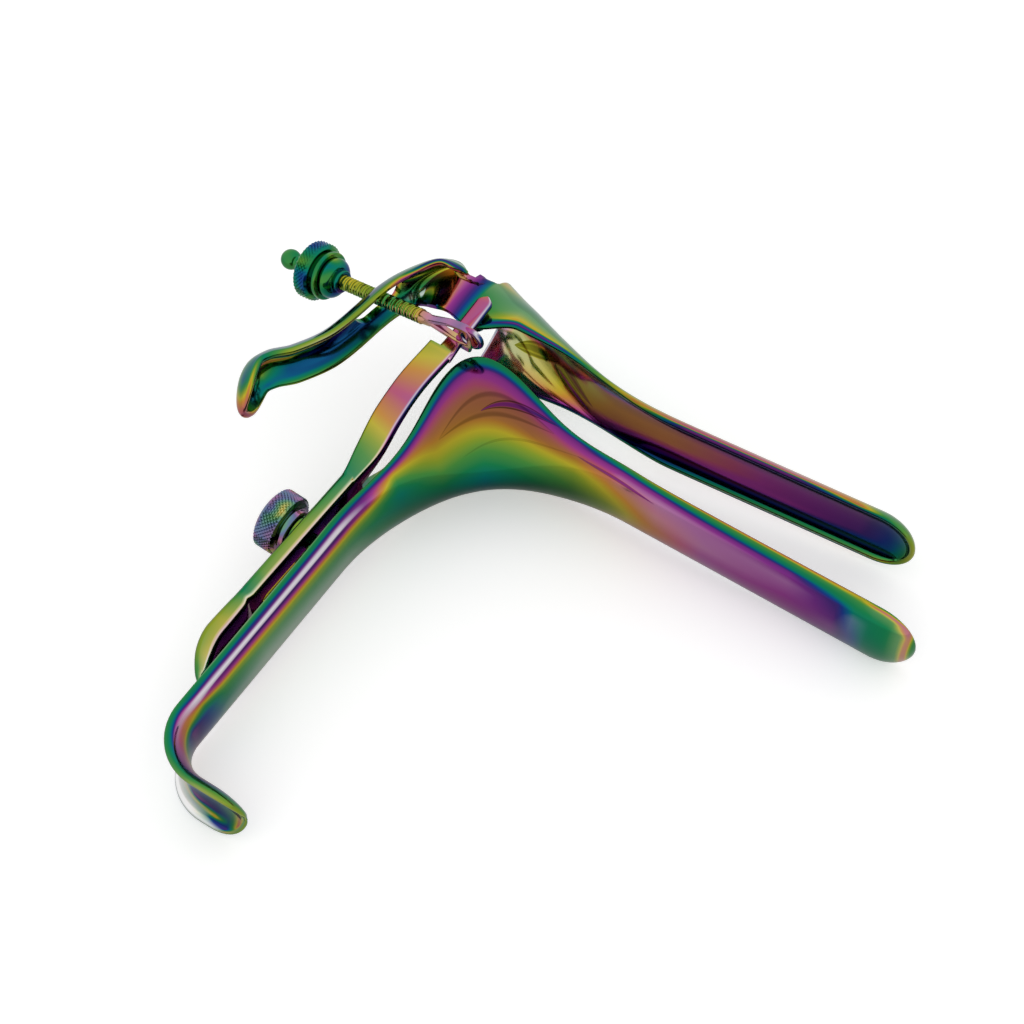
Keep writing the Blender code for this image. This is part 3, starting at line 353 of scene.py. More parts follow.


# Bands of the film on the outside: distance from the blade tip, then (share across, film, painted light).
# Painted light under 1 is painted shade and dark reflection, and over 1 a painted white highlight line.
LOWER_BANDS = (
    (0, ((0, 0.52, 0.9), (1, 0.52, 0.9))),
    (0.9, ((0, 0.55, 0.9), (0.5, 0.6, 1))),
    (1.8, ((0, 0.6, 1), (0.04, 0.92, 1.1), (0.5, 0.96, 1.15))),
    (3.2, ((0, 0.56, 0.9), (0.05, 0.94, 1.1), (0.12, 0.9, 1.1), (0.2, 0.62, 1.1), (0.5, 0.58, 1.1))),
    (6, ((0, 0.56, 0.9), (0.03, 0.6, 0.9), (0.06, 0.94, 1.1), (0.11, 0.6, 1.05), (0.2, 0.52, 1),
        (0.5, 0.5, 1))),
    (10, ((0, 0.56, 0.8), (0.03, 0.6, 0.9), (0.06, 0.92, 1.05), (0.1, 0.58, 1.05), (0.2, 0.5, 1),
        (0.5, 0.47, 1))),
    (14, ((0, 0.8, 0.5), (0.04, 0.75, 0.9), (0.1, 0.56, 1), (0.2, 0.5, 0.95), (0.3, 0.36, 1.1),
        (0.5, 0.26, 1.1))),
    (18, ((0, 0.8, 0.4), (0.04, 0.8, 1), (0.08, 0.56, 1), (0.16, 0.5, 0.9), (0.23, 0.2, 0.9),
        (0.5, 0.1, 1.05))),
    (30, ((0, 0.7, 0.4), (0.03, 0.88, 1), (0.06, 0.6, 0.9), (0.1, 0.52, 1), (0.14, 0.44, 0.8),
        (0.17, 0.12, 0.9), (0.28, 0.05, 1.1), (0.5, 0.03, 0.95))),
    (50, ((0, 0.7, 0.4), (0.03, 0.88, 0.9), (0.05, 0.6, 0.8), (0.09, 0.52, 1), (0.12, 0.44, 0.7),
        (0.15, 0.1, 0.9), (0.22, 0.02, 1.1), (0.4, -0.01, 1.15), (0.5, 0, 1.05))),
    (62, ((0, 0.7, 0.4), (0.03, 0.8, 0.7), (0.05, 0.56, 0.9), (0.09, 0.5, 0.9), (0.12, 0.1, 0.9),
        (0.2, 0, 1.15), (0.35, -0.08, 1.15), (0.5, -0.14, 1))),
    (72, ((0, 0.8, 0.5), (0.03, 0.56, 0.9), (0.07, 0.5, 0.9), (0.1, 0.1, 0.9), (0.17, -0.02, 1.1),
        (0.28, -0.14, 1.05), (0.4, -0.24, 0.9), (0.5, -0.3, 0.8))),
    (82, ((0, 0.56, 0.7), (0.03, 0.5, 0.9), (0.06, 0.12, 0.9), (0.13, -0.02, 0.9), (0.2, -0.18, 0.6),
        (0.26, -0.25, 0.85), (0.33, -0.34, 0.85), (0.42, -0.38, 0.6), (0.5, -0.4, 0.4))),
    (92, ((0, 0.56, 0.7), (0.03, 0.48, 0.9), (0.06, 0.12, 0.9), (0.09, 0.02, 0.8), (0.13, -0.1, 0.55),
        (0.2, -0.15, 0.55), (0.24, -0.24, 0.8), (0.29, -0.34, 0.95), (0.38, -0.44, 0.8), (0.46, -0.5, 0.5),
        (0.5, -0.52, 0.35))),
    (101, ((0, 0.56, 0.8), (0.025, 0.46, 0.8), (0.05, 0.04, 0.85), (0.08, -0.04, 0.7), (0.12, -0.12, 0.55),
        (0.19, -0.15, 0.55), (0.23, -0.24, 0.8), (0.28, -0.36, 0.95), (0.36, -0.48, 0.9), (0.44, -0.6, 0.7),
        (0.5, -0.6, 0.5))),
    (110, ((0, 0.56, 0.8), (0.04, 0.48, 0.9), (0.065, 0.1, 0.9), (0.09, -0.04, 0.75), (0.14, -0.14, 0.6),
        (0.2, -0.22, 0.65), (0.3, -0.36, 0.85), (0.44, -0.5, 0.6), (0.55, -0.55, 0.4))),
    (120, ((0, 0.58, 0.9), (0.04, 0.5, 0.9), (0.08, 0.1, 0.9), (0.12, -0.2, 0.9), (0.16, -0.32, 1),
        (0.22, -0.46, 1), (0.32, -0.56, 0.9), (0.45, -0.54, 0.75), (0.6, -0.46, 0.6))),
    (128, ((0, 0.6, 1), (0.06, 0.5, 0.9), (0.1, 0.16, 0.8), (0.14, 0.1, 1), (0.19, 0.1, 1.1),
        (0.22, 0, 0.5), (0.25, -0.2, 0.9), (0.3, -0.36, 1), (0.42, -0.5, 1), (0.6, -0.46, 1))),
    (136, ((0, 0.6, 1.2), (0.05, 0.52, 0.9), (0.09, 0.48, 0.9), (0.11, 0.2, 0.7), (0.14, 0.1, 1.1),
        (0.165, 0.1, 1.6), (0.2, 0.1, 1.9), (0.225, 0.2, 0.5), (0.25, 0.02, 0.9), (0.28, -0.16, 1),
        (0.32, -0.32, 1), (0.42, -0.46, 1.05), (0.6, -0.46, 1.3))),
    (165, ((0, 0.6, 1.3), (0.04, 0.56, 1), (0.08, 0.48, 0.9), (0.1, 0.3, 0.8), (0.14, 0.12, 0.95),
        (0.16, 0.1, 1.5), (0.185, 0.1, 2), (0.2, 0.12, 1.5), (0.215, 0.2, 0.45), (0.245, 0.02, 1),
        (0.275, -0.14, 1), (0.31, -0.3, 1), (0.4, -0.44, 1.1), (0.6, -0.46, 1.4))),
    (178, ((0, 0.6, 1.2), (0.04, 0.52, 1), (0.08, 0.48, 0.9), (0.13, 0.1, 0.9), (0.165, 0.1, 1.6),
        (0.19, 0.1, 2), (0.22, 0.1, 0.6), (0.26, -0.05, 1), (0.3, -0.3, 1), (0.36, -0.44, 1),
        (0.48, -0.54, 1), (0.6, -0.56, 1.2))),
    (184, ((0, 0.58, 1), (0.06, 0.5, 0.9), (0.1, 0.4, 0.8), (0.14, 0.06, 1), (0.17, 0.04, 1.8),
        (0.21, 0.02, 1.6), (0.24, -0.1, 0.8), (0.3, -0.44, 0.9), (0.38, -0.72, 0.95), (0.6, -0.74, 0.9))),
    (189, ((0, 0.58, 1), (0.07, 0.5, 1), (0.11, 0.3, 0.9), (0.14, -0.02, 1), (0.19, -0.02, 1.4),
        (0.24, -0.14, 1), (0.3, -0.2, 0.8), (0.4, -0.9, 0.9), (0.6, -0.84, 0.8))),
    (195, ((0, 0.56, 1), (0.06, 0.52, 1), (0.12, 0.4, 1), (0.17, 0.02, 1.1), (0.3, -0.04, 1),
        (0.4, -0.3, 0.7), (0.6, -0.6, 0.7))),
    (203, ((0, 0.7, 1.1), (0.06, 0.6, 1), (0.12, 0.52, 1), (0.2, 0.2, 0.9), (0.3, 0.05, 1),
        (0.6, -0.1, 0.8))),
    (212.6, ((0, 0.7, 1), (0.5, 0.56, 1))),
)
# The same on the inside
INNER_BANDS = (
    (0, ((0, 0.6, 0.9), (1, 0.6, 0.9))),
    (12, ((0, 0.6, 0.9), (0.15, 0.3, 0.8), (0.5, 0.1, 0.9), (0.85, -0.2, 0.9), (1, -0.3, 0.9))),
    (70, ((0, 0.5, 0.9), (0.15, 0.3, 0.8), (0.5, 0, 0.9), (0.85, -0.1, 0.9), (1, -0.2, 0.9))),
    (101, ((0, 0.56, 0.9), (0.2, 0.4, 0.8), (0.5, 0.3, 0.9), (0.8, 0.2, 0.9), (1, 0, 0.9))),
    (185, ((0, 0.58, 0.9), (0.3, 0.4, 0.8), (0.6, 0.1, 0.9), (1, 0, 1))),
    (193, ((0, 0.58, 1), (0.4, 0.52, 1), (0.55, 0.6, 1.3), (0.62, 0.9, 1.5), (0.7, 0.9, 1.95),
        (1, 0.5, 2))),
    (199, ((0, 0.6, 1), (0.45, 0.5, 1), (0.58, 0.3, 0.6), (0.66, 0, 0.9), (0.72, 0.85, 1.3),
        (0.78, 0.3, 1.6), (0.86, 0.9, 1.95), (1, 0.5, 2))),
    (204, ((0, 0.6, 1), (0.42, 0.55, 1.1), (0.5, 0.45, 0.9), (0.58, 0.3, 0.5), (0.68, 0.18, 0.6),
        (0.76, 0.88, 1), (0.82, 0.25, 0.7), (0.92, 0.3, 1.5), (1, 0.6, 2))),
    (208, ((0, 0.6, 1), (0.4, 0.6, 1), (0.52, 0.5, 0.8), (0.64, 0.42, 0.6), (0.8, 0.3, 0.7),
        (0.9, 0.15, 0.8), (1, 0.9, 1.2))),
    (211, ((0, 0.9, 1.1), (0.5, 0.86, 0.9), (0.8, 0.95, 1), (1, 0.6, 1.1))),
    (212.6, ((0, 0.6, 1.1), (1, 0.6, 1.1))),
)

def painted_reflection_group():
    """Masks of a slender painted reflection with a dark rim: its rim, and its core, where the film colour
    shifts.
    """
    names = ("Along", "Across", "Place", "Height", "Length", "Width", "Slope")
    tree, given, result = new_group(
        "painted_reflection_mark", "ShaderNodeTree", dict.fromkeys(names, "Float"), {"Rim": "Float", "Core": "Float"},
    )

    def value(how, *parts):
        return calculated(tree, how, *parts)

    def stepped(part, low, high):
        return add(
            tree, "ShaderNodeMapRange", {"Value": part, "From Min": low, "From Max": high},
            interpolation_type="SMOOTHSTEP",
        )["Result"]

    run = value("SUBTRACT", given["Along"], given["Place"])
    u = value("DIVIDE", run, given["Length"])
    taper = value("MAXIMUM", value("SUBTRACT", 1.0, value("MULTIPLY", u, u)), 0.0)
    rise = value("SUBTRACT", given["Across"], given["Height"])
    rise = value("SUBTRACT", rise, value("MULTIPLY", run, given["Slope"]))
    half = value("ADD", value("MULTIPLY", taper, given["Width"]), 0.0008)
    v = value("DIVIDE", value("ABSOLUTE", rise), half)
    inside = stepped(taper, 0.0, 0.06)
    rim = value("MULTIPLY", stepped(v, 0.5, 0.85), value("SUBTRACT", 1.0, stepped(v, 1.0, 1.25)))
    core = value("SUBTRACT", 1.0, stepped(v, 0.35, 0.75))
    feed(tree, result, {"Rim": value("MULTIPLY", rim, inside), "Core": value("MULTIPLY", core, inside)})
    return tree


painted_reflection_mark = painted_reflection_group()


def add_painted_reflections(metal, marks):
    """Painted reflections on a film material, dark-rimmed shapes of nearby parts, each with its place,
    height, length, width and slope, how far it shifts the film, and the shades of its rim and core."""
    tree = metal.node_tree
    colour = next(node for node in tree.nodes if node.type == "GROUP")
    film, tone = (colour.inputs[socket].links[0].from_socket for socket in ("Film", "Painted Light"))
    along, across = (
        add(tree, "ShaderNodeAttribute", attribute_name=name)["Fac"] for name in ("along", "across")
    )
    for *sizes, shift, rim_shade, core_shade in marks:
        named = dict(zip(("Place", "Height", "Length", "Width", "Slope"), sizes))
        mark = add(tree, "ShaderNodeGroup", {"Along": along, "Across": across, **named}, node_tree=painted_reflection_mark)
        film = calculated(tree, "MULTIPLY_ADD", mark["Core"], shift, film)
        for mask, shade in (("Rim", rim_shade), ("Core", core_shade)):
            kept = calculated(tree, "MULTIPLY_ADD", mark[mask], shade - 1.0, 1.0)
            tone = calculated(tree, "MULTIPLY", tone, kept)
    feed(tree, colour, {"Film": film, "Painted Light": tone})


def tip_rows(length, count):
    """Distances from a rounded tip, closer together towards it."""
    return [length * (1.0 - cos(0.5 * pi * i / count)) for i in range(count)]


# The sheet's points: rows from the blade tip to the hook's tip, closer together at both tips. The painted
# reflections lie at places across from 0 to 1, so a face without them gets a place outside them.
UNMARKED = 2.0
rows = tip_rows(BLADE_TIP_ROUND, 16)
rows += list(np.linspace(BLADE_TIP_ROUND, LOWER_LENGTH - HOOK_TIP_ROUND, 250))
rows += [LOWER_LENGTH - distance for distance in reversed(tip_rows(HOOK_TIP_ROUND, 14))]
points = []
front = []
back = []
across = crowded(57)
for s in rows:
    fine = np.linspace(0.0, 1.0, 61)
    section = np.array([lower_surface(s, f) for f in fine])
    run = np.concatenate(([0.0], np.cumsum(np.linalg.norm(np.diff(section, axis=0), axis=1))))
    for f in across if run[-1] < 1e-6 else np.interp(across * run[-1], run, fine):
        points.append(lower_surface(s, f))
        front.append(bands(LOWER_BANDS, s, min(f, 1.1 - f)) + [s, f])
        back.append(bands(INNER_BANDS, s, f) + [s, UNMARKED])
faces = [face[::-1] for face in grid_faces(len(rows), len(across))]
lower_metal = film_metal("lower_blade_film_painted_light")
# Painted reflections on the wing: dark-rimmed shapes of the nearby parts, with the film colour shifted
# inside some
add_painted_reflections(lower_metal, (
    (72.5, 0.205, 9.5, 0.014, -0.0035, 0.1, 0.35, 0.7), (93.5, 0.115, 7.0, 0.014, 0.0085, 0.14, 0.3, 0.8),
    (98.0, 0.15, 11.0, 0.034, 0.003, 0.0, 0.6, 0.9), (92.0, 0.235, 13.0, 0.004, 0.006, 0.0, 0.7, 0.8),
))
walls = [WALL] * len(points)
lower_blade = pressed_sheet("lower_blade_skin", points, faces, walls, front, back, lower_metal)
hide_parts("lower_blade")
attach(lower_blade, "handle")

# Frame: a forged fork, with a slotted stem and knob below and two arms that carry the hinge above.
# The near arm has a small eyelet for the lever screw. Two riveted pins hold the blade between them.
ARM_THICKNESS = 2.4
ARM_WIDTH = 6.4
ARM_X = -31.2
ARM_FOOT_Z = -14.0
ARM_KNEE_Z = 1.5
ARM_Y = 15.0
LUG_WIDTH = 3.9
LUG_STEP_Z = 19.2
LUG_TOP_Z = 35.6
STEM_X = -32.2
STEM_THICKNESS = 3.8
STEM_HALF_WIDTH = 7.0
STEM_TOP_Z = -13.0
STEM_PINCH_Z = -51.0
PINCH_DEPTH = 0.5
KNOB_SWELL = 0.6
KNOB_END_Z = -71.0
KNOB_CURL = 4.2
KNOB_ROUND = 2.2
EYE = np.array((-25.1, -19.4, 22.5))
EYE_RADIUS = 3.3
EYE_HOLE_RADIUS = 1.8
STUD_Z = -29.6
STUD_RADIUS = 2.0
SLOT_UP = 16.0
SLOT_DOWN = 1.0
PIN_HOLE_RADIUS = 1.35
ALONG_X = (1.0, 0.0, 0.0)
ALONG_Y = (0.0, 1.0, 0.0)
ALONG_Z = (0.0, 0.0, 1.0)


def plain_object(name, points, faces):
    """Closed object in millimetres of the upright instrument, with its doubled points joined."""
    shape = bmesh.new()
    corners = [shape.verts.new(point) for point in points]
    for face in faces:
        shape.faces.new([corners[k] for k in face])
    bmesh.ops.remove_doubles(shape, verts=shape.verts, dist=0.002)
    bmesh.ops.dissolve_degenerate(shape, edges=shape.edges, dist=0.001)
    bmesh.ops.recalc_face_normals(shape, faces=shape.faces)
    mesh = bpy.data.meshes.new(name)
    shape.to_mesh(mesh)
    shape.free()
    return new_object(name, mesh)


def settle(made):
    """Applies the modifiers of a piece and leaves it with the plain mesh."""
    graph = bpy.context.evaluated_depsgraph_get()
    mesh = bpy.data.meshes.new_from_object(made.evaluated_get(graph))
    made.modifiers.clear()
    made.data = mesh


def join(made, other, how):
    """Joins another body to a piece or cuts it out, and takes the other body away."""
    modifier = made.modifiers.new(how, "BOOLEAN")
    modifier.operation = how
    modifier.solver = "EXACT"
    modifier.object = other
    settle(made)
    bpy.data.objects.remove(other, do_unlink=True)


def lay(made, turn=None, origin=(0.0, 0.0, 0.0), sharp=40.0):
    """Moves a piece's mesh from its own millimetres to its place in the lying instrument."""
    own = lying if turn is None else lying @ Matrix(turn.tolist())
    place = (MM * own).to_4x4()
    place.translation = Vector(laid([origin])[0])
    made.data.transform(place)
    made.data.shade_smooth()
    made.data.set_sharp_from_angle(angle=radians(sharp))


def loft(rings):
    """Points and faces of a body that runs through rings of as many points, closed at both ends."""
    count = len(rings[0])
    points = [point for ring in rings for point in ring]
    faces = [list(range(count))[::-1], list(range(len(points) - count, len(points)))]
    for i in range(len(rings) - 1):
        for k in range(count):
            m = (k + 1) % count
            faces.append([i * count + k, i * count + m, (i + 1) * count + m, (i + 1) * count + k])
    return points, faces


def rounded_bar(centre, wide, thick, width, thickness, radius=1.0):
    """Ring round a bar with rounded edges: width along one axis, thickness along the other."""
    r = min(radius, 0.48 * width, 0.48 * thickness)
    ring = []
    for quarter in range(4):
        for step in range(7):
            angle = 0.5 * pi * (quarter + step / 6)
            u = (0.5 * width - r) * (1 if quarter in (0, 3) else -1) + r * cos(angle)
            v = (0.5 * thickness - r) * (1 if quarter in (0, 1) else -1) + r * sin(angle)
            ring.append(np.array(centre) + np.array(wide) * u + np.array(thick) * v)
    return ring


def turned_body(profile, steps=72, closed=False):
    """Points and faces of a shape turned about its own x axis, from places and radii."""
    points = []
    faces = []
    for x, radius in profile:
        for k in range(steps):
            angle = 2.0 * pi * k / steps
            points.append((x, radius * cos(angle), radius * sin(angle)))
    count = len(profile)
    for i in range(count if closed else count - 1):
        j = (i + 1) % count
        for k in range(steps):
            m = (k + 1) % steps
            faces.append([i * steps + k, i * steps + m, j * steps + m, j * steps + k])
    return points, faces


def round_cutter(name, start, end, radius):
    """Round pin about its own x axis."""
    return plain_object(name, *turned_body([(start, 0.0), (start, radius), (end, radius), (end, 0.0)], 32))


def slot_body(name, middle, through, along, ends, radius, depth):
    """Body that cuts a slot: its round ends stand at two places along it."""
    rings = []
    for level in (-depth, depth):
        ring = []
        for k in range(48):
            angle = 2.0 * pi * k / 48
            reach = ends[k // 24] + radius * sin(angle)
            side = np.array((0.0, radius * cos(angle), 0.0))
            ring.append(middle + through * level + along * reach + side)
        rings.append(ring)
    return plain_object(name, *loft(rings))


def hermite(t, span, a, b, slope_a, slope_b):
    """Point between a and b on the curve that leaves and meets them at the given slopes."""
    return (
        (2 * t ** 3 - 3 * t ** 2 + 1) * a + (t ** 3 - 2 * t ** 2 + t) * span * slope_a
        + (3 * t ** 2 - 2 * t ** 3) * b + (t ** 3 - t ** 2) * span * slope_b
    )


def point_places(mesh):
    """Places of a mesh's points, one row each."""
    places = np.empty(3 * len(mesh.vertices))
    mesh.vertices.foreach_get("co", places)
    return places.reshape(-1, 3)


def stem_x(z):
    """Middle of the leaning stem at a height."""
    return STEM_X - tan(STEM_LEAN) * (STEM_TOP_Z - z)


def stem_station(z):
    """Middle, thickness and half-width of the stem and its knob at a height."""
    below = max(STEM_PINCH_Z - z, 0.0) / (STEM_PINCH_Z - KNOB_END_Z)
    pinch = PINCH_DEPTH * (1.0 - smooth(0.0, 1.8, abs(z - STEM_PINCH_Z)))
    curl = KNOB_CURL * max((below - 0.45) / 0.55, 0.0) ** 2
    thickness = STEM_THICKNESS + KNOB_SWELL * sin(pi * min(below, 1.0)) - pinch
    thickness *= 1.0 - 0.3 * smooth(0.7, 1.0, below)
    half_width = STEM_HALF_WIDTH * sqrt(1.0 - 0.75 * smooth(0.45, 1.0, below))
    return stem_x(z) - 0.5 * pinch + curl, thickness, half_width


rings = []
heights = list(np.linspace(STEM_TOP_Z, KNOB_END_Z + KNOB_ROUND, 90))
heights += [KNOB_END_Z + KNOB_ROUND * (1.0 - sin(0.5 * pi * i / 8)) for i in range(1, 9)]
for z in heights:
    x, thickness, half_width = stem_station(z)
    share = max(end_share(z - KNOB_END_Z, KNOB_ROUND), 0.02)
    heading = np.array((stem_station(z + 0.4)[0] - stem_station(z - 0.4)[0], 0.0, 0.8))
    heading /= np.linalg.norm(heading)
    across = np.array((heading[2], 0.0, -heading[0]))
    sizes = (thickness * share, 2.0 * half_width * share)
    rings.append(rounded_bar((x, 0.0, z), across, ALONG_Y, *sizes, 1.3))
frame_piece = plain_object("frame_skin", *loft(rings))

foot_y = 0.5 * STEM_HALF_WIDTH + 0.2
arm_path = np.array((
    (stem_x(ARM_FOOT_Z - 8.0), foot_y, ARM_FOOT_Z - 8.0, STEM_THICKNESS - 0.4, STEM_HALF_WIDTH - 1.2),
    (stem_x(ARM_FOOT_Z), foot_y + 0.6, ARM_FOOT_Z, STEM_THICKNESS, STEM_HALF_WIDTH - 1.6),
    (0.5 * (STEM_X + ARM_X), 0.54 * ARM_Y, ARM_FOOT_Z + 6.0, ARM_WIDTH - 0.6, ARM_THICKNESS + 1.0),
    (ARM_X - 0.2, ARM_Y - 2.0, ARM_KNEE_Z - 2.0, ARM_WIDTH, ARM_THICKNESS + 0.4),
    (ARM_X, ARM_Y - 0.4, ARM_KNEE_Z + 2.0, ARM_WIDTH, ARM_THICKNESS),
    (ARM_X, ARM_Y, ARM_KNEE_Z + 5.0, ARM_WIDTH, ARM_THICKNESS),
    (ARM_X + 0.6, ARM_Y, LUG_STEP_Z, ARM_WIDTH, ARM_THICKNESS),
))
knots = np.concatenate(([0.0], np.cumsum(np.linalg.norm(np.diff(arm_path[:, :3], axis=0), axis=1))))
slopes = np.gradient(arm_path, knots, axis=0)
side_turn = np.array(((0.0, -1.0, 0.0), ALONG_X, ALONG_Z))
for side in (-1.0, 1.0):
    rings = []
    for place in np.linspace(0.0, knots[-1], 50):
        i = min(int(np.searchsorted(knots, place, "right")) - 1, len(knots) - 2)
        span = knots[i + 1] - knots[i]
        t = (place - knots[i]) / span
        x, y, z, width, thickness = hermite(t, span, *arm_path[i:i + 2], *slopes[i:i + 2])
        run = (1 - t) * slopes[i] + t * slopes[i + 1]
        length = hypot(run[1], run[2])
        thick = (0.0, run[2] / length, -side * run[1] / length)
        rings.append(rounded_bar((x, side * y, z), ALONG_X, thick, width, thickness, 0.8))
    join(frame_piece, plain_object("arm", *loft(rings)), "UNION")
    lug_round = 0.5 * LUG_WIDTH
    lug_heights = [(LUG_STEP_Z - 2.0, LUG_WIDTH + 0.6), (LUG_STEP_Z + 2.5, LUG_WIDTH)]
    for k in range(11):
        angle = 0.5 * pi * k / 10
        lug_heights.append((LUG_TOP_Z - lug_round * (1.0 - sin(angle)), LUG_WIDTH * max(cos(angle), 0.1)))
    rings = [
        rounded_bar((HINGE_X, side * ARM_Y, z), ALONG_X, ALONG_Y, width, ARM_THICKNESS - 0.42, 0.95)
        for z, width in lug_heights
    ]
    join(frame_piece, plain_object("lug", *loft(rings)), "UNION")
    ends = (side * (ARM_Y - 2.2), side * (ARM_Y + 0.75))
    seat = round_cutter("pin_seat", min(ends), max(ends), PIN_HOLE_RADIUS)
    seat.data.transform(Matrix.Translation((HINGE_X, 0.0, HINGE_Z)) @ Matrix(side_turn.tolist()).to_4x4())
    join(frame_piece, seat, "DIFFERENCE")

ring_middle = 0.5 * (EYE_RADIUS + EYE_HOLE_RADIUS)
ring_half = 0.5 * (EYE_RADIUS - EYE_HOLE_RADIUS)
profile = [
    (0.7 * sin(2.0 * pi * k / 14), ring_middle + ring_half * cos(2.0 * pi * k / 14)) for k in range(14)
]
eyelet = plain_object("eyelet", *turned_body(profile, 48, closed=True))
eyelet.data.transform(Matrix.Translation(EYE.tolist()) @ Matrix.Rotation(-0.5 * pi, 4, "Y"))
neck_width = EYE[0] - HINGE_X - 0.4
rings = [
    rounded_bar((EYE[0] - 0.5 * neck_width, y, EYE[2]), ALONG_X, ALONG_Z, neck_width, 1.2, 0.5)
    for y in (EYE[1] + EYE_HOLE_RADIUS + 0.3, 0.8 - ARM_Y)
]
join(frame_piece, plain_object("eyelet_neck", *loft(rings)), "UNION")
join(frame_piece, eyelet, "UNION")
stem_up = np.array((sin(STEM_LEAN), 0.0, cos(STEM_LEAN)))
stud_axis = np.array((-cos(STEM_LEAN), 0.0, sin(STEM_LEAN)))
slot_middle = np.array((stem_x(STUD_Z), 0.0, STUD_Z))
join(frame_piece, slot_body(
    "stem_slot", slot_middle, stud_axis, stem_up, (SLOT_DOWN, -SLOT_UP), STUD_RADIUS + 0.4, 6.0,
), "DIFFERENCE")

mesh = frame_piece.data
places = point_places(mesh)
facing = np.array([vertex.normal[:] for vertex in mesh.vertices])
film = np.interp(
    places[:, 2],
    (-71, -66, -58, -52, -50, -44, -32, -22, -14, -8, -2, 4, 9, 14, 18, 22, 27, 31, 36),
    (0.55, 0.66, 0.7, 0.6, 0.5, 0.62, 0.66, 0.58, 0.5, 0.62, 0.8, 0.94, 0.84, 0.76, 0.71, 0.98, 1.04, 1,
     0.9),
)
forward = np.clip(facing[:, 0], 0.0, 1.0)
rise = np.clip(facing[:, 2], 0.0, 1.0)
# Painted light by which way the faces look: front faces painted darker as a dark reflection, a painted
# highlight line along the rounded front edges, rear faces painted darker, the rest whitened a little
tone = 1.05 - 0.75 * np.clip((forward - 0.72) / 0.25, 0.0, 1.0)
tone += 0.75 * np.exp(-((forward - 0.42) / 0.14) ** 2)
tone -= 0.4 * np.clip(-facing[:, 0], 0.0, 1.0)
mark_points(mesh, film=film + 0.42 * forward - 0.2 * rise, tone=tone)
mesh.materials.clear()
mesh.materials.append(film_metal("frame_film_painted_light"))
lay(frame_piece)
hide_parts("frame")
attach(frame_piece, "slide_frame")
pin_metal = film_metal("pin_film", film=0.4, drift=0.2)
for node in ("hinge_pin_near", "hinge_pin_far"):
    frame["nodes"][node].data.materials.clear()
    frame["nodes"][node].data.materials.append(pin_metal)

# Handle stud: a short steel screw riveted into the channel's floor, on which the frame's slot slides.
# Only its root shows, between the handle and the frame.
stud = frame["nodes"]["handle_stud"]
stud.data.materials.clear()
stud.data.materials.append(film_metal("stud_film", film=0.55, drift=0.25))

# Upper blade and thumb lever: one pressing. The blade's trough widens to the arch of the mouth, and
# the arch's near side runs on as the dished lever that the thumb pushes.
UPPER_RIM_Z = 31.05
UPPER_OPENING = 0.0818
UPPER_DEPTH = 4.8
UPPER_HALF_WIDTH = 9.5
UPPER_TIP_X = 78.6
UPPER_TIP_ROUND = 9.4
MOUTH_X = -32.4
MOUTH_TOP_Z = 49.4
MOUTH_HALF_WIDTH = 13.0
CROWN_SLOPE = 0.395
CROWN_BLEND = 1.4
THROAT_X = 15.0
RIM_HUMP = 4.4
HUMP_START_X = -29.5
HUMP_TOP_X = -20.5
HUMP_FALL_X = -12.0
HUMP_END_X = 21.0
LEVER_Y = -13.0
LEVER_HALF_WIDTH = 7.0
LEVER_DEPTH = 4.4
LEVER_WALL = 1.5
LEVER_ROOT_TOP = radians(50.0)
LEVER_ROOT_BLEND = 4.5
LEVER_TIP_ROUND = 9.0
LEVER_TIP_LEVEL = 0.5
LEVER_SLOT_Z = 23.8
LEVER_SLOT_RADIUS = 3.5
ROOT_ROWS = (
    ((-35.2, -11.3, 40.8), (-35.6, -12.4, 37.5), (-35.6, -12.2, 28.9)),
    ((-38.6, -17.8, 37.4), (-40.4, -13.6, 40.0), (-39.4, -10.6, 29.2)),
    ((-42.4, -20.0, 35.8), (-45.4, -13.0, 37.2), (-43.0, -7.6, 30.4)),
)
LEVER_PROFILE = (
    (-45.4, 37.2), (-49.4, 32.4), (-52.2, 25.2), (-55.3, 9.4), (-59.2, 2.1), (-63.0, -2.2),
    (-64.6, -7.8), (-61.5, -17.3),
)


def upper_rim(x):
    """Height of the blade's rim, which humps up beside the mouth."""
    hump = smooth(HUMP_START_X, HUMP_TOP_X, x) * (1.0 - smooth(HUMP_FALL_X, HUMP_END_X, x))
    return UPPER_RIM_Z + UPPER_OPENING * x + RIM_HUMP * hump


def upper_crown(x):
    """Height of the blade's ridge: the trough's own line, and the falling line of the arch before it."""
    blade = UPPER_RIM_Z + UPPER_OPENING * x + UPPER_DEPTH
    arch = MOUTH_TOP_Z - CROWN_SLOPE * (x - MOUTH_X)
    return 0.5 * (blade + arch) + hypot(0.5 * (blade - arch), CROWN_BLEND) - 0.2


def upper_half_width(x):
    """Half-width of the blade, which widens from the throat to the mouth."""
    spread = 1.0 - smooth(MOUTH_X + 6.0, THROAT_X, x)
    return UPPER_HALF_WIDTH + (MOUTH_HALF_WIDTH - UPPER_HALF_WIDTH) * spread


def upper_surface(s, f):
    """Outer face of the blade: s from its tip to the mouth, f from the near rim to the far one."""
    x = UPPER_TIP_X - s
    share = end_share(s, UPPER_TIP_ROUND)
    rim = upper_rim(x)
    side = -upper_half_width(x) * share * cos(pi * f)
    return np.array((x, side, rim + (upper_crown(x) - rim) * share * sin(pi * f)))


def lever_root(f, inset):
    """The mouth's edge where the lever leaves it, f from its crown side to its rim."""
    angle = LEVER_ROOT_TOP * (1.0 - f)
    rim = upper_rim(MOUTH_X)
    width = upper_half_width(MOUTH_X) - inset
    height = upper_crown(MOUTH_X) - rim - inset
    return np.array((MOUTH_X, -width * cos(angle), rim + height * sin(angle)))


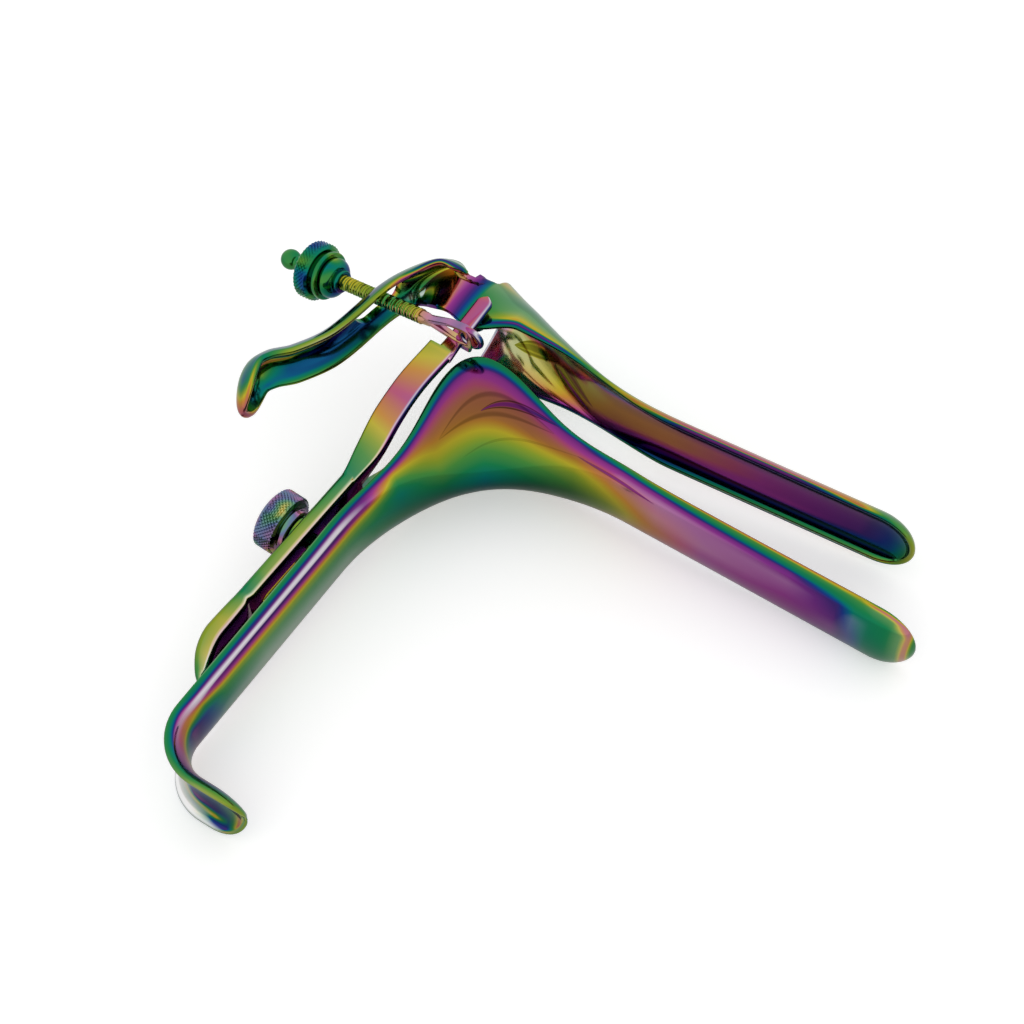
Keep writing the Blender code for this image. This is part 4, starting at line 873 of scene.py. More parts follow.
lever_rows = [tuple(lever_root(f, WALL + 0.1) for f in (0.0, 0.5, 1.0))]
lever_rows += [tuple(np.array(point) for point in row) for row in ROOT_ROWS]
for i in range(1, len(LEVER_PROFILE)):
    before = LEVER_PROFILE[i - 1]
    after = LEVER_PROFILE[min(i + 1, len(LEVER_PROFILE) - 1)]
    run = hypot(after[0] - before[0], after[1] - before[1])
    dish = LEVER_DEPTH * np.array((-(after[1] - before[1]) / run, 0.0, (after[0] - before[0]) / run))
    floor = np.array((LEVER_PROFILE[i][0], LEVER_Y, LEVER_PROFILE[i][1]))
    side = np.array((0.0, LEVER_HALF_WIDTH, 0.0))
    lever_rows.append((floor + dish - side, floor, floor + dish + side))
lever_knots = [0.0]
for a, b in zip(lever_rows, lever_rows[1:]):
    lever_knots.append(lever_knots[-1] + float(np.linalg.norm(b[1] - a[1])))
LEVER_LENGTH = lever_knots[-1]


def lever_row(s):
    """Near edge, floor and far edge at a distance along the lever."""
    s = min(max(s, 0.0), LEVER_LENGTH)
    i = min(max(int(np.searchsorted(lever_knots, s)) - 1, 0), len(lever_knots) - 2)
    span = lever_knots[i + 1] - lever_knots[i]
    t = (s - lever_knots[i]) / span
    row = []
    for c in range(3):
        slopes = []
        for k in (i, i + 1):
            a = max(k - 1, 0)
            b = min(k + 1, len(lever_rows) - 1)
            slopes.append((lever_rows[b][c] - lever_rows[a][c]) / (lever_knots[b] - lever_knots[a]))
        row.append(hermite(t, span, lever_rows[i][c], lever_rows[i + 1][c], *slopes))
    return row


def lever_band(s, f):
    """Back of the lever: an arc across from its near edge over its floor to its far edge."""
    near, floor, far = lever_row(s)
    return near * (1 - f) * (1 - 2 * f) + floor * 4 * f * (1 - f) + far * f * (2 * f - 1)


def lever_lift(s, f):
    """Step from the lever's back to its dished face."""
    step = 0.01
    at = min(max(s, step), LEVER_LENGTH - step)
    along = lever_band(at + step, f) - lever_band(at - step, f)
    normal = np.cross(along, lever_band(at, f + step) - lever_band(at, f - step))
    return LEVER_WALL * normal / np.linalg.norm(normal)


def lever_front(s, f):
    """Dished face of the lever, which carries on from the outside of the arch."""
    near, floor, far = lever_row(s)
    share = end_share(LEVER_LENGTH - s, LEVER_TIP_ROUND)
    centre = floor + LEVER_TIP_LEVEL * (0.5 * (near + far) - floor)
    point = centre + (lever_band(s, f) - centre) * share + lever_lift(s, 0.5 + (f - 0.5) * share)
    if s < LEVER_ROOT_BLEND:
        start = lever_band(0.0, f) + lever_lift(0.0, f)
        point = point + (lever_root(f, 0.0) - start) * (1.0 - smooth(0.0, LEVER_ROOT_BLEND, s))
    return point


# Film and painted light by distance from the blade's tip, outside and inside, and on the lever by distance
# from its root: painted shade and dark reflections under 1, painted highlights over 1
UPPER_OUTER_BANDS = (
    (0, ((0, 0.7, 1), (1, 0.7, 1))),
    (3, ((0, 0.62, 1), (0.5, 0.56, 1.1))),
    (8, ((0, 0.4, 0.6), (0.04, 0.56, 1), (0.1, 0.54, 1.1), (0.3, 0.6, 1.3), (0.5, 0.5, 1.2))),
    (14, ((0, 0.2, 0.5), (0.04, 0.9, 0.8), (0.09, 0.8, 1), (0.3, 0.7, 1.3), (0.5, 0.5, 1.2))),
    (30, ((0, 0.2, 0.5), (0.03, 0.05, 0.6), (0.07, 0.94, 0.95), (0.11, 0.92, 1.2), (0.3, 0.8, 1.4),
        (0.5, 0.6, 1.2))),
    (55, ((0, 0.2, 0.4), (0.03, 0.05, 0.6), (0.07, 0.95, 0.9), (0.12, 0.92, 1), (0.3, 0.7, 1.3),
        (0.5, 0.5, 1.2))),
    (68, ((0, 0.55, 0.4), (0.03, 0.85, 0.6), (0.08, 0.8, 0.9), (0.2, 0.62, 1.1), (0.5, 0.5, 1.1))),
    (80, ((0, 0.55, 0.6), (0.04, 0.6, 0.9), (0.12, 0.56, 1.15), (0.3, 0.52, 1.1), (0.5, 0.46, 1))),
    (90, ((0, 0.6, 0.7), (0.03, 0.08, 0.9), (0.06, 0.75, 1), (0.14, 0.58, 1.1), (0.3, 0.5, 1.15),
        (0.5, 0.46, 1))),
    (101, ((0, 0.6, 0.7), (0.03, 0.08, 0.9), (0.06, 0.8, 1), (0.12, 0.64, 1.1), (0.22, 0.52, 1.05),
        (0.35, 0.5, 1.1), (0.5, 0.44, 1))),
    (111, ((0, 0.5, 0.8), (0.08, 0.5, 0.9), (0.16, 0.55, 1), (0.26, 0.6, 1.1), (0.33, 0.85, 1.1),
        (0.4, 0.6, 1.1), (0.5, 0.44, 1))),
)
UPPER_INNER_BANDS = (
    (0, ((0, 0.7, 1), (0.5, 0.62, 1), (1, 0.72, 1))),
    (2.5, ((0, 0.6, 1), (0.5, 0.4, 1), (0.8, 0.5, 1), (1, 0.64, 1))),
    (6, ((0, 0.5, 1), (0.3, 0.55, 1.3), (0.36, 0.5, 1), (0.42, 0.3, 0.8), (0.6, 0.28, 0.96), (0.72, 0.3, 1),
        (0.8, 0.4, 1), (0.9, 0.55, 1), (1, 0.75, 1))),
    (14, ((0, 0.3, 0.96), (0.3, 0.95, 1.35), (0.37, 0.15, 0.8), (0.44, 0.12, 0.8), (0.55, 0.14, 1),
        (0.68, 0.16, 1), (0.74, 0.28, 1), (0.8, 0.4, 1), (0.9, 0.54, 0.8), (0.97, 0.6, 0.96),
        (1, 0.6, 1.4))),
    (30, ((0, 0.3, 0.96), (0.3, 0.95, 1.35), (0.37, 0.12, 0.56), (0.44, 0.08, 0.8), (0.5, 0.05, 1),
        (0.66, 0.06, 1), (0.71, 0.02, 1), (0.75, 0.22, 0.96), (0.8, 0.36, 1), (0.88, 0.5, 0.8),
        (0.96, 0.56, 0.64), (1, 0.6, 1.5))),
    (45, ((0, 0.3, 0.96), (0.3, 0.92, 1.3), (0.38, 0.05, 0.56), (0.46, 0, 0.72), (0.5, -0.06, 0.96),
        (0.62, -0.06, 1), (0.69, 0, 1), (0.73, 0.04, 0.96), (0.78, 0.24, 0.96), (0.85, 0.34, 0.8),
        (0.92, 0.5, 0.48), (1, 0.6, 1.3))),
    (60, ((0, 0.3, 0.96), (0.28, 0.9, 1.2), (0.38, -0.04, 0.56), (0.46, -0.12, 0.72), (0.52, -0.14, 1),
        (0.64, -0.14, 1), (0.7, -0.04, 0.8), (0.74, 0.14, 0.72), (0.82, 0.24, 0.72), (0.92, 0.3, 0.4),
        (1, 0.6, 1))),
    (74, ((0, 0.5, 0.96), (0.26, 0.7, 1.2), (0.38, -0.1, 0.8), (0.44, -0.16, 0.8), (0.54, -0.17, 1),
        (0.68, -0.14, 0.88), (0.73, -0.02, 0.8), (0.8, 0.12, 0.64), (0.92, 0.24, 0.48), (1, 0.5, 1))),
    (82, ((0, 0.5, 0.96), (0.24, 0.6, 1.3), (0.36, 0.6, 1.1), (0.42, -0.2, 0.64), (0.5, -0.25, 0.96),
        (0.6, -0.22, 0.96), (0.7, -0.2, 1), (0.8, -0.1, 0.96), (0.9, 0, 1), (1, 0.4, 1))),
    (90, ((0, 0.5, 1), (0.3, 0.56, 1.3), (0.45, 0.6, 1), (0.51, 0.6, 0.32), (0.56, -0.25, 1),
        (0.7, -0.27, 1), (0.85, -0.22, 1), (0.95, -0.02, 1), (1, 0.3, 1))),
    (98, ((0, 0.5, 1), (0.35, 0.56, 1.2), (0.5, 0.6, 1), (0.57, 0.6, 0.48), (0.62, -0.25, 1.1),
        (0.78, -0.27, 1.15), (0.88, -0.2, 1.1), (0.96, 0, 1), (1, 0.3, 1))),
    (106, ((0, 0.5, 1), (0.4, 0.56, 1.1), (0.56, 0.55, 1), (0.62, 0.3, 0.8), (0.66, -0.3, 1.2),
        (0.78, -0.3, 1.3), (0.9, -0.2, 1.1), (1, 0, 1))),
    (111, ((0, 0.5, 1), (0.5, 0.5, 1), (0.62, 0.3, 1), (0.7, 0.3, 1.5), (0.8, 0.25, 1.6), (0.9, 0.1, 1.2),
        (1, 0, 1))),
)
LEVER_BANDS = (
    (0, ((0, 0.5, 1), (0.3, 0.46, 1), (1, 0.44, 1))),
    (2, ((0, 0.3, 1), (0.5, 0.25, 1), (1, 0.2, 1))),
    (4, ((0, 0.12, 1), (0.5, 0.08, 1), (1, 0.02, 1))),
    (6, ((0, -0.04, 1), (0.4, -0.06, 1.1), (0.7, -0.14, 1.1), (1, -0.3, 1))),
    (8, ((0, 0.02, 1), (0.3, 0.02, 1), (0.45, -0.08, 1), (0.58, -0.2, 1), (0.72, -0.28, 1),
        (0.82, -0.4, 1.3), (0.88, -0.5, 1.8), (0.93, -0.5, 0.7), (1, -0.9, 1))),
    (12, ((0, -0.1, 1), (0.25, -0.12, 1), (0.4, -0.24, 1.05), (0.6, -0.28, 1), (0.72, -0.4, 0.7),
        (0.82, -0.5, 1), (0.88, -0.5, 1.8), (0.92, -0.5, 0.98), (1, -0.9, 0.84))),
    (18, ((0, -0.06, 1), (0.3, -0.08, 1), (0.42, -0.2, 0.84), (0.55, -0.32, 0.84), (0.7, -0.4, 0.56),
        (0.82, -0.5, 1.2), (0.9, -0.5, 1.7), (0.94, -0.5, 0.56), (1, -0.9, 0.7))),
    (25, ((0, 0, 1), (0.3, -0.03, 1), (0.48, -0.05, 1), (0.56, -0.3, 1), (0.7, -0.45, 0.7),
        (0.85, -0.55, 1), (0.93, -0.5, 0.7), (1, -0.3, 1))),
    (31, ((0, -0.3, 1), (0.4, -0.32, 1), (0.5, -0.1, 0.7), (0.57, -0.05, 0.7), (0.64, -0.7, 0.7),
        (0.76, -0.7, 1), (0.8, -0.7, 0.63), (0.92, -0.6, 0.56), (1, -0.3, 1))),
    (40, ((0, -0.34, 1), (0.36, -0.38, 1), (0.46, -0.6, 0.56), (0.54, -0.78, 0.77), (0.66, -0.7, 0.98),
        (0.75, -0.68, 1), (0.79, -0.7, 0.7), (0.92, -0.6, 0.49), (1, -0.28, 1))),
    (48, ((0, -0.3, 1.2), (0.3, -0.34, 1.35), (0.4, -0.4, 1), (0.5, -0.6, 0.7), (0.6, -0.7, 0.84),
        (0.76, -0.68, 0.98), (0.82, -0.66, 1), (0.88, -0.7, 0.7), (1, -0.28, 1))),
    (55, ((0, -0.3, 1), (0.3, -0.32, 0.98), (0.45, -0.9, 0.98), (0.55, -0.14, 0.84), (0.66, -0.6, 0.7),
        (0.8, -0.68, 0.84), (0.9, -0.66, 1), (1, -0.3, 1))),
    (62, ((0, -0.55, 1), (0.3, -0.53, 1.15), (0.42, -0.45, 1), (0.5, -0.05, 1), (0.6, -0.22, 0.84),
        (0.8, -0.4, 0.84), (0.92, -0.66, 1), (1, -0.5, 1))),
    (70, ((0, -0.4, 1), (0.45, -0.3, 1), (0.65, -0.38, 0.84), (0.82, -0.66, 1), (0.95, -0.5, 1),
        (1, -0.1, 1))),
    (75.1, ((0, -0.1, 1), (1, -0.06, 1))),
)

rows = tip_rows(UPPER_TIP_ROUND, 16)
rows += list(np.linspace(UPPER_TIP_ROUND, UPPER_TIP_X - MOUTH_X - 1.5, 120))
rows += [UPPER_TIP_X - MOUTH_X - d for d in (1.2, 0.9, 0.65, 0.42, 0.25, 0.12, 0.04, 0.0)]
root_share = LEVER_ROOT_TOP / pi
near_columns = root_share * crowded(29)
far_columns = root_share + (1.0 - root_share) * crowded(49)
across = np.concatenate((near_columns, far_columns[1:]))
points = []
front = []
back = []
for s in rows:
    for f in across:
        points.append(upper_surface(s, f))
        front.append(bands(UPPER_OUTER_BANDS, s, min(f, 1.0 - f)) + [s, UNMARKED])
        back.append(bands(UPPER_INNER_BANDS, s, f) + [s, f])
walls = [WALL] * len(points)
faces = grid_faces(len(rows), len(across))
count = len(near_columns)
start = len(points)
mouth_row = start - len(across)
faces += [
    [mouth_row + j, mouth_row + j + 1, start + j + 1, start + j] for j in range(count - 1)
]
UNMARKED_LEVER = 3.0
lever_places = list(np.linspace(0.0, LEVER_LENGTH - LEVER_TIP_ROUND, 100))[1:]
lever_places += [LEVER_LENGTH - distance for distance in reversed(tip_rows(LEVER_TIP_ROUND, 16))]
for s in lever_places:
    for f in near_columns / root_share:
        points.append(lever_front(s, 1.0 - f))
        front.append(bands(LEVER_BANDS, s, 1.0 - f) + [s, UNMARKED_LEVER])
        back.append(bands(LEVER_BANDS, s, f) + [s, UNMARKED_LEVER])
        walls.append(WALL + (LEVER_WALL - WALL) * smooth(0.0, 8.0, s))
faces += grid_faces(len(lever_places), count, start)
upper_metal = film_metal("upper_blade_film_painted_light")
# Painted reflections inside the blade near the mouth: dark-rimmed, darkened shapes, with the film colour
# shifted in some
add_painted_reflections(upper_metal, (
    (98.0, 0.66, 7.0, 0.05, 0.012, 0.0, 0.35, 0.4), (88.0, 0.6, 8.0, 0.04, -0.014, 0.1, 0.4, 0.45),
    (86.0, 0.72, 6.0, 0.03, -0.012, 0.2, 0.45, 0.9),
))
upper_blade = pressed_sheet("upper_blade_skin", points, faces, walls, front, back, upper_metal)
distances = np.linspace(0.0, LEVER_LENGTH, 401)
slot_place = float(np.interp(-LEVER_SLOT_Z, [-lever_row(s)[1][2] for s in distances], distances))
slot_point = np.array(lever_row(slot_place)[1])
slot_run = lever_row(slot_place + 1.0)[1] - lever_row(slot_place - 1.0)[1]
slot_run = np.array((slot_run[0], 0.0, slot_run[2])) / hypot(slot_run[0], slot_run[2])
slot_through = np.cross(slot_run, ALONG_Y)
slot_cutter = slot_body(
    "lever_slot", slot_point, slot_through, slot_run, (LEVER_SLOT_RADIUS, -LEVER_SLOT_RADIUS),
    LEVER_SLOT_RADIUS, 9.0,
)
lay(slot_cutter)
through_pins = round_cutter("pin_hole", -ARM_Y - 4.0, ARM_Y + 4.0, PIN_HOLE_RADIUS)
lay(through_pins, side_turn, (HINGE_X, 0.0, HINGE_Z))
# The cuts drop what the points carry, so it is read back from the nearest points of the uncut sheet
known = upper_blade.data.copy()
join(upper_blade, slot_cutter, "DIFFERENCE")
join(upper_blade, through_pins, "DIFFERENCE")
mesh = upper_blade.data
tree = nearby([vertex.co for vertex in known.vertices])
nearest = [tree.find(vertex.co)[1] for vertex in mesh.vertices]
for attribute in ("film", "tone", "along", "across"):
    values = np.empty(len(known.vertices), np.float32)
    known.attributes[attribute].data.foreach_get("value", values)
    mark_points(mesh, **{attribute: values[nearest]})
mesh.set_sharp_from_angle(angle=radians(50.0))
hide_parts("upper_blade")
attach(upper_blade, "blade_lever")

# Lever screw: a flat forged link that hangs in the eyelet, then a rod with a cut thread, and a ball
# riveted on its end so that the nut can't come off.
SCREW_RADIUS = 1.75
SCREW_PITCH = 0.8
LINK_LENGTH = 15.0
LINK_WIDTH = 6.6
LINK_THICKNESS = 1.9
LINK_BAR = 2.0
LINK_STRAND = 1.3
BALL_RADIUS = 2.39
BALL_DISTANCE = 52.3
BALL_NECK = 3.4
BALL_NECK_ANGLE = 2.46
THREAD_DEPTH = 0.28
THREAD_RIDGE = 0.3
screw_axis = (slot_point - EYE) / np.linalg.norm(slot_point - EYE)
screw_rise = np.array(ALONG_Z) - screw_axis * screw_axis[2]
screw_rise /= np.linalg.norm(screw_rise)
screw_turn = np.array((screw_axis, np.cross(screw_rise, screw_axis), screw_rise)).T


def eased(profile):
    """Profile of places and radii with each corner rounded over its own length."""
    out = []
    count = len(profile)
    for i, (x, radius, ease) in enumerate(profile):
        corner = np.array((x, radius))
        if ease == 0.0:
            out.append((x, radius))
            continue
        before = np.array(profile[i - 1][:2]) - corner
        after = np.array(profile[(i + 1) % count][:2]) - corner
        first = corner + before / np.linalg.norm(before) * ease
        last = corner + after / np.linalg.norm(after) * ease
        for t in np.linspace(0.0, 1.0, 6):
            out.append(tuple(first * (1 - t) ** 2 + 2 * t * (1 - t) * corner + last * t ** 2))
    return out


def add_grown(tree, given, result, grown):
    """Joins what a group has grown to its piece, as one plain mesh of one metal."""
    both = tree.nodes.new("GeometryNodeJoinGeometry")
    for part in (given["Geometry"], grown):
        tree.links.new(part, both.inputs["Geometry"])
    real = add(tree, "GeometryNodeRealizeInstances", {"Geometry": both.outputs["Geometry"]})
    metal = add(tree, "GeometryNodeSetMaterial", {"Geometry": real["Geometry"], "Material": given["Metal"]})
    feed(tree, result, {"Geometry": metal["Geometry"]})


def thread_group():
    """Helical ridge along a rod's own x axis."""
    tree, given, result = new_group("cut_thread", "GeometryNodeTree", {
        "Geometry": "Geometry", "Turns": "Float", "Radius": "Float", "Start": "Float", "Length": "Float",
        "Ridge": "Float", "Metal": "Material",
    }, {"Geometry": "Geometry"})
    spiral = add(tree, "GeometryNodeCurveSpiral", {
        "Resolution": 28, "Rotations": given["Turns"], "Start Radius": given["Radius"],
        "End Radius": given["Radius"], "Height": given["Length"],
    })
    ridge = add(tree, "GeometryNodeCurvePrimitiveCircle", {"Resolution": 6, "Radius": given["Ridge"]})
    sweep = add(tree, "GeometryNodeCurveToMesh", {
        "Curve": spiral["Curve"], "Profile Curve": ridge["Curve"], "Fill Caps": True,
    })
    place = add(tree, "ShaderNodeCombineXYZ", {"X": given["Start"]})
    turned = add(tree, "GeometryNodeTransform", {
        "Geometry": sweep["Mesh"], "Translation": place["Vector"], "Rotation": (0.0, 0.5 * pi, 0.0),
    })
    add_grown(tree, given, result, turned["Geometry"])
    return tree


def grow(made, tree, values):
    """Runs a node group on a piece and keeps what it makes as the piece's plain mesh."""
    modifier = made.modifiers.new(tree.name, "NODES")
    modifier.node_group = tree
    for socket in tree.interface.items_tree:
        if socket.in_out == "INPUT" and socket.name in values:
            modifier[socket.identifier] = values[socket.name]
    settle(made)


link_front = -0.5 * LINK_BAR
link_back = link_front + LINK_LENGTH
half = 0.5 * (LINK_WIDTH - LINK_STRAND)
strand = np.array((
    (0.0, -0.4, LINK_BAR), (0.0, 0.55 * half, LINK_BAR), (0.25, 0.85 * half, 1.8), (1.1, half, 1.45),
    (3.0, half, LINK_STRAND), (5.0, 0.93 * half, LINK_STRAND), (7.5, 0.62 * half, 1.35),
    (10.0, 0.3 * half, 1.5), (11.8, 0.12 * half, 1.6),
))
fine = np.linspace(0, len(strand) - 1, 60)
strand = np.array([np.interp(fine, range(len(strand)), strand[:, c]) for c in range(3)]).T
for turn in range(5):
    strand[1:-1] = 0.5 * strand[1:-1] + 0.25 * (strand[:-2] + strand[2:])
strands = []
for side in (-1.0, 1.0):
    rings = []
    for i, (x, y, width) in enumerate(strand):
        ahead = strand[min(i + 1, len(strand) - 1)] - strand[max(i - 1, 0)]
        length = hypot(ahead[0], ahead[1])
        across = (-side * ahead[1] / length, ahead[0] / length, 0.0)
        rings.append(rounded_bar((x, side * y, 0.0), across, ALONG_Z, width, LINK_THICKNESS, 0.55))
    strands.append(plain_object("lever_screw_skin", *loft(rings)))
lever_screw = strands[0]
join(lever_screw, strands[1], "UNION")
rings = []
for x, width, thickness in (
    (10.6, 2.4, 1.5), (11.5, 3.2, 1.9), (13.0, 3.6, 1.9), (link_back - 0.3, 3.3, 1.9), (link_back, 2.7, 1.5),
):
    rings.append(rounded_bar((x, 0.0, 0.0), ALONG_Y, ALONG_Z, width, thickness, 0.7))
join(lever_screw, plain_object("link_neck", *loft(rings)), "UNION")
shaft_end = BALL_DISTANCE - BALL_RADIUS - 0.7
core = SCREW_RADIUS - THREAD_DEPTH
profile = [(link_back - 2.4, 0.0), (link_back - 2.4, 0.9), (link_back - 1.4, core)]
profile += [(shaft_end, core), (shaft_end, 0.0)]
join(lever_screw, plain_object("shaft", *turned_body(profile, 40)), "UNION")
screw_metal = film_metal("screw_film_painted_light", roughness=0.14)
cut_thread = thread_group()
thread_start = link_back - 0.6
thread_length = shaft_end - 0.5 - thread_start
grow(lever_screw, cut_thread, {
    "Turns": thread_length / SCREW_PITCH, "Radius": core - 0.02, "Start": thread_start,
    "Length": thread_length, "Ridge": THREAD_RIDGE, "Metal": screw_metal,
})
places = point_places(lever_screw.data)
film = np.interp(
    places[:, 0], (0, 2, 5, 8, 11, 13, 15, 22, 34, 50),
    (0.84, 0.98, 0.86, 1, 0.9, 0.8, 0.64, 0.5, 0.68, 0.5),
)
# Painted highlight: the link and its neck whitened a little, the rod left as it is
tone = np.interp(places[:, 0], (0, 12, 15), (1.15, 1.2, 1))
mark_points(lever_screw.data, film=film + 0.045 * places[:, 1], tone=tone)
lay(lever_screw, screw_turn, EYE)
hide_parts("lever_screw")
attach(lever_screw, "swing_screw")

neck_start = BALL_DISTANCE - BALL_RADIUS - 0.35
profile = [(neck_start, 0.0), (neck_start, 1.5)]
for k in range(25):
    angle = BALL_NECK_ANGLE * (1.0 - k / 24)
    profile.append((BALL_DISTANCE + BALL_RADIUS * cos(angle), BALL_RADIUS * sin(angle)))
ball = plain_object("screw_end_ball_skin", *turned_body(profile, 48))
ball.data.materials.append(film_metal("ball_film", film=0.5, drift=0.2))
lay(ball, screw_turn, EYE)
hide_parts("screw_end_ball")
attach(ball, "swing_screw")

# Lever nut: a knurled thumb nut with a flange and groove turned in one, and before it the loose
# domed seat that presses on the lever. The knurl is rolled in crossing lines.
LEVER_NUT_RADIUS = 6.8
LEVER_NUT_LENGTH = 4.0
LEVER_NUT_FLANGE = 5.65
LEVER_NUT_GROOVE = 4.8
LEVER_NUT_GROOVE_LENGTH = 0.9
LEVER_NUT_FLANGE_LENGTH = 1.2
SEAT_RADIUS = 4.7
SEAT_LENGTH = 2.6
SEAT_NECK_RADIUS = 2.7
KNURL_DEPTH = 0.32
KNURL_ROOT = 0.2
BORE_CLEARANCE = 0.15
bore = SCREW_RADIUS + BORE_CLEARANCE


def knurl_group():
    """Rows of small pyramids, each row half a tooth further round, about a nut's own x axis."""
    tree, given, result = new_group("diamond_knurl", "GeometryNodeTree", {
        "Geometry": "Geometry", "Teeth": "Int", "Rows": "Int", "Radius": "Float", "Start": "Float",
        "Length": "Float", "Tooth": "Object", "Metal": "Material",
    }, {"Geometry": "Geometry"})

    def value(how, *parts):
        return calculated(tree, how, *parts)

    index = add(tree, "GeometryNodeInputIndex")[0]
    row = value("FLOOR", value("DIVIDE", value("ADD", index, 0.5), given["Teeth"]))
    tooth = value("SUBTRACT", index, value("MULTIPLY", row, given["Teeth"]))
    offset = value("MULTIPLY", value("MODULO", row, 2.0), 0.5)
    angle = value("MULTIPLY", value("DIVIDE", value("ADD", tooth, offset), given["Teeth"]), 2.0 * pi)
    step = value("DIVIDE", given["Length"], value("ADD", given["Rows"], 1.0))
    place = add(tree, "ShaderNodeCombineXYZ", {
        "X": value("ADD", value("MULTIPLY", value("ADD", row, 1.0), step), given["Start"]),
        "Y": value("MULTIPLY", value("COSINE", angle), given["Radius"]),
        "Z": value("MULTIPLY", value("SINE", angle), given["Radius"]),
    })
    points = add(tree, "GeometryNodePoints", {
        "Count": value("MULTIPLY", given["Teeth"], given["Rows"]), "Position": place["Vector"],
    })
    turn = add(tree, "ShaderNodeCombineXYZ", {"X": value("SUBTRACT", angle, 0.5 * pi)})
    spread = add(tree, "GeometryNodeInstanceOnPoints", {
        "Points": points[0],
        "Instance": add(tree, "GeometryNodeObjectInfo", {"Object": given["Tooth"]})["Geometry"],
        "Rotation": add(tree, "FunctionNodeEulerToRotation", {"Euler": turn["Vector"]})["Rotation"],
    })
    add_grown(tree, given, result, spread["Instances"])
    return tree


diamond_knurl = knurl_group()


def knurl(made, radius, start, length, teeth, rows, metal):
    """Rolls the knurl on a nut, between two places along its axis."""
    long = length / (rows + 1)
    wide = pi * radius / teeth
    corners = [(-long, 0.0, -KNURL_ROOT), (0.0, -wide, -KNURL_ROOT), (long, 0.0, -KNURL_ROOT)]
    corners.append((0.0, wide, -KNURL_ROOT))
    sunk = [(x, y, 0.0) for x, y, z in corners]
    tooth = plain_object(
        "tooth", corners + sunk + [(0.0, 0.0, KNURL_DEPTH)],
        [[3, 2, 1, 0]] + [[k, (k + 1) % 4, 4 + (k + 1) % 4, 4 + k] for k in range(4)]
        + [[4 + k, 4 + (k + 1) % 4, 8] for k in range(4)],
    )
    grow(made, diamond_knurl, {
        "Teeth": teeth, "Rows": rows, "Radius": radius - KNURL_DEPTH, "Start": start, "Length": length,
        "Tooth": tooth, "Metal": metal,
    })
    bpy.data.objects.remove(tooth, do_unlink=True)


nut_back = BALL_DISTANCE - BALL_RADIUS - BALL_NECK
nut_front = nut_back - LEVER_NUT_LENGTH
groove_front = nut_front - LEVER_NUT_GROOVE_LENGTH
flange_front = groove_front - LEVER_NUT_FLANGE_LENGTH
knurled = LEVER_NUT_RADIUS - KNURL_DEPTH
lever_nut = plain_object("lever_nut_skin", *turned_body(eased((
    (flange_front, bore, 0.0), (flange_front, LEVER_NUT_FLANGE, 0.4), (groove_front, LEVER_NUT_FLANGE, 0.4),
    (groove_front, LEVER_NUT_GROOVE, 0.0), (nut_front, LEVER_NUT_GROOVE, 0.0), (nut_front, 5.9, 0.15),
    (nut_front + 0.5, knurled, 0.2), (nut_back - 0.6, knurled, 0.2), (nut_back, 5.6, 0.3),
    (nut_back, bore, 0.0),
)), 96, closed=True))
nut_metal = film_metal("nut_film", film=0.46, drift=0.45)
knurl(
    lever_nut, LEVER_NUT_RADIUS, nut_front + 0.35, LEVER_NUT_LENGTH - 0.8, teeth=42, rows=6,
    metal=nut_metal,
)
lay(lever_nut, screw_turn, EYE, 25.0)
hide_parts("lever_nut")
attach(lever_nut, "nut")

seat_back = flange_front - 0.3
seat_front = seat_back - SEAT_LENGTH
profile = [(seat_back, bore), (seat_back, SEAT_RADIUS - 0.2)]
for k in range(17):
    angle = 0.5 * pi * k / 16
    drop = (1.0 - cos(angle)) * (SEAT_RADIUS - SEAT_NECK_RADIUS)
    profile.append((seat_back - 0.5 - (SEAT_LENGTH - 0.5) * sin(angle), SEAT_RADIUS - drop))
profile += [(seat_front - 0.8, SEAT_NECK_RADIUS), (seat_front - 1.0, SEAT_NECK_RADIUS - 0.2)]
profile.append((seat_front - 1.0, bore))
seat = plain_object("lever_nut_seat_skin", *turned_body(profile, 64, closed=True))
seat.data.materials.append(film_metal("seat_film", film=0.4, drift=0.6))
lay(seat, screw_turn, EYE)
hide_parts("lever_nut_seat")
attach(seat, "seat")

# Handle nut and washer: a knurled thumb nut with a bead, turned from bar, and a flat washer. They
# stand on the stud and clamp the frame at its height.
WASHER_FRONT = 0.3
WASHER_BACK = 1.3
WASHER_RADIUS = 4.5
BEAD_FRONT = 1.6
HANDLE_NUT_RADIUS = 7.15
HANDLE_NUT_LENGTH = 5.6
HANDLE_BEAD_RADIUS = 4.8
HANDLE_BEAD_LENGTH = 1.5
stud_turn = np.array((stud_axis, (0.0, -1.0, 0.0), stem_up)).T
if np.linalg.det(stud_turn) < 0.0:
    stud_turn[:, 1] *= -1.0
stud_origin = slot_middle + stud_axis * 0.5 * STEM_THICKNESS
bore = STUD_RADIUS + BORE_CLEARANCE
washer = plain_object("handle_washer_skin", *turned_body(eased((
    (WASHER_FRONT, bore, 0.0), (WASHER_FRONT, WASHER_RADIUS, 0.35),
    (WASHER_BACK, WASHER_RADIUS, 0.35), (WASHER_BACK, bore, 0.0),
)), 64, closed=True))
washer.data.materials.append(film_metal("washer_film", film=0.6, drift=0.35))
lay(washer, stud_turn, stud_origin)
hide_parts("handle_washer")
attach(washer, "washer")

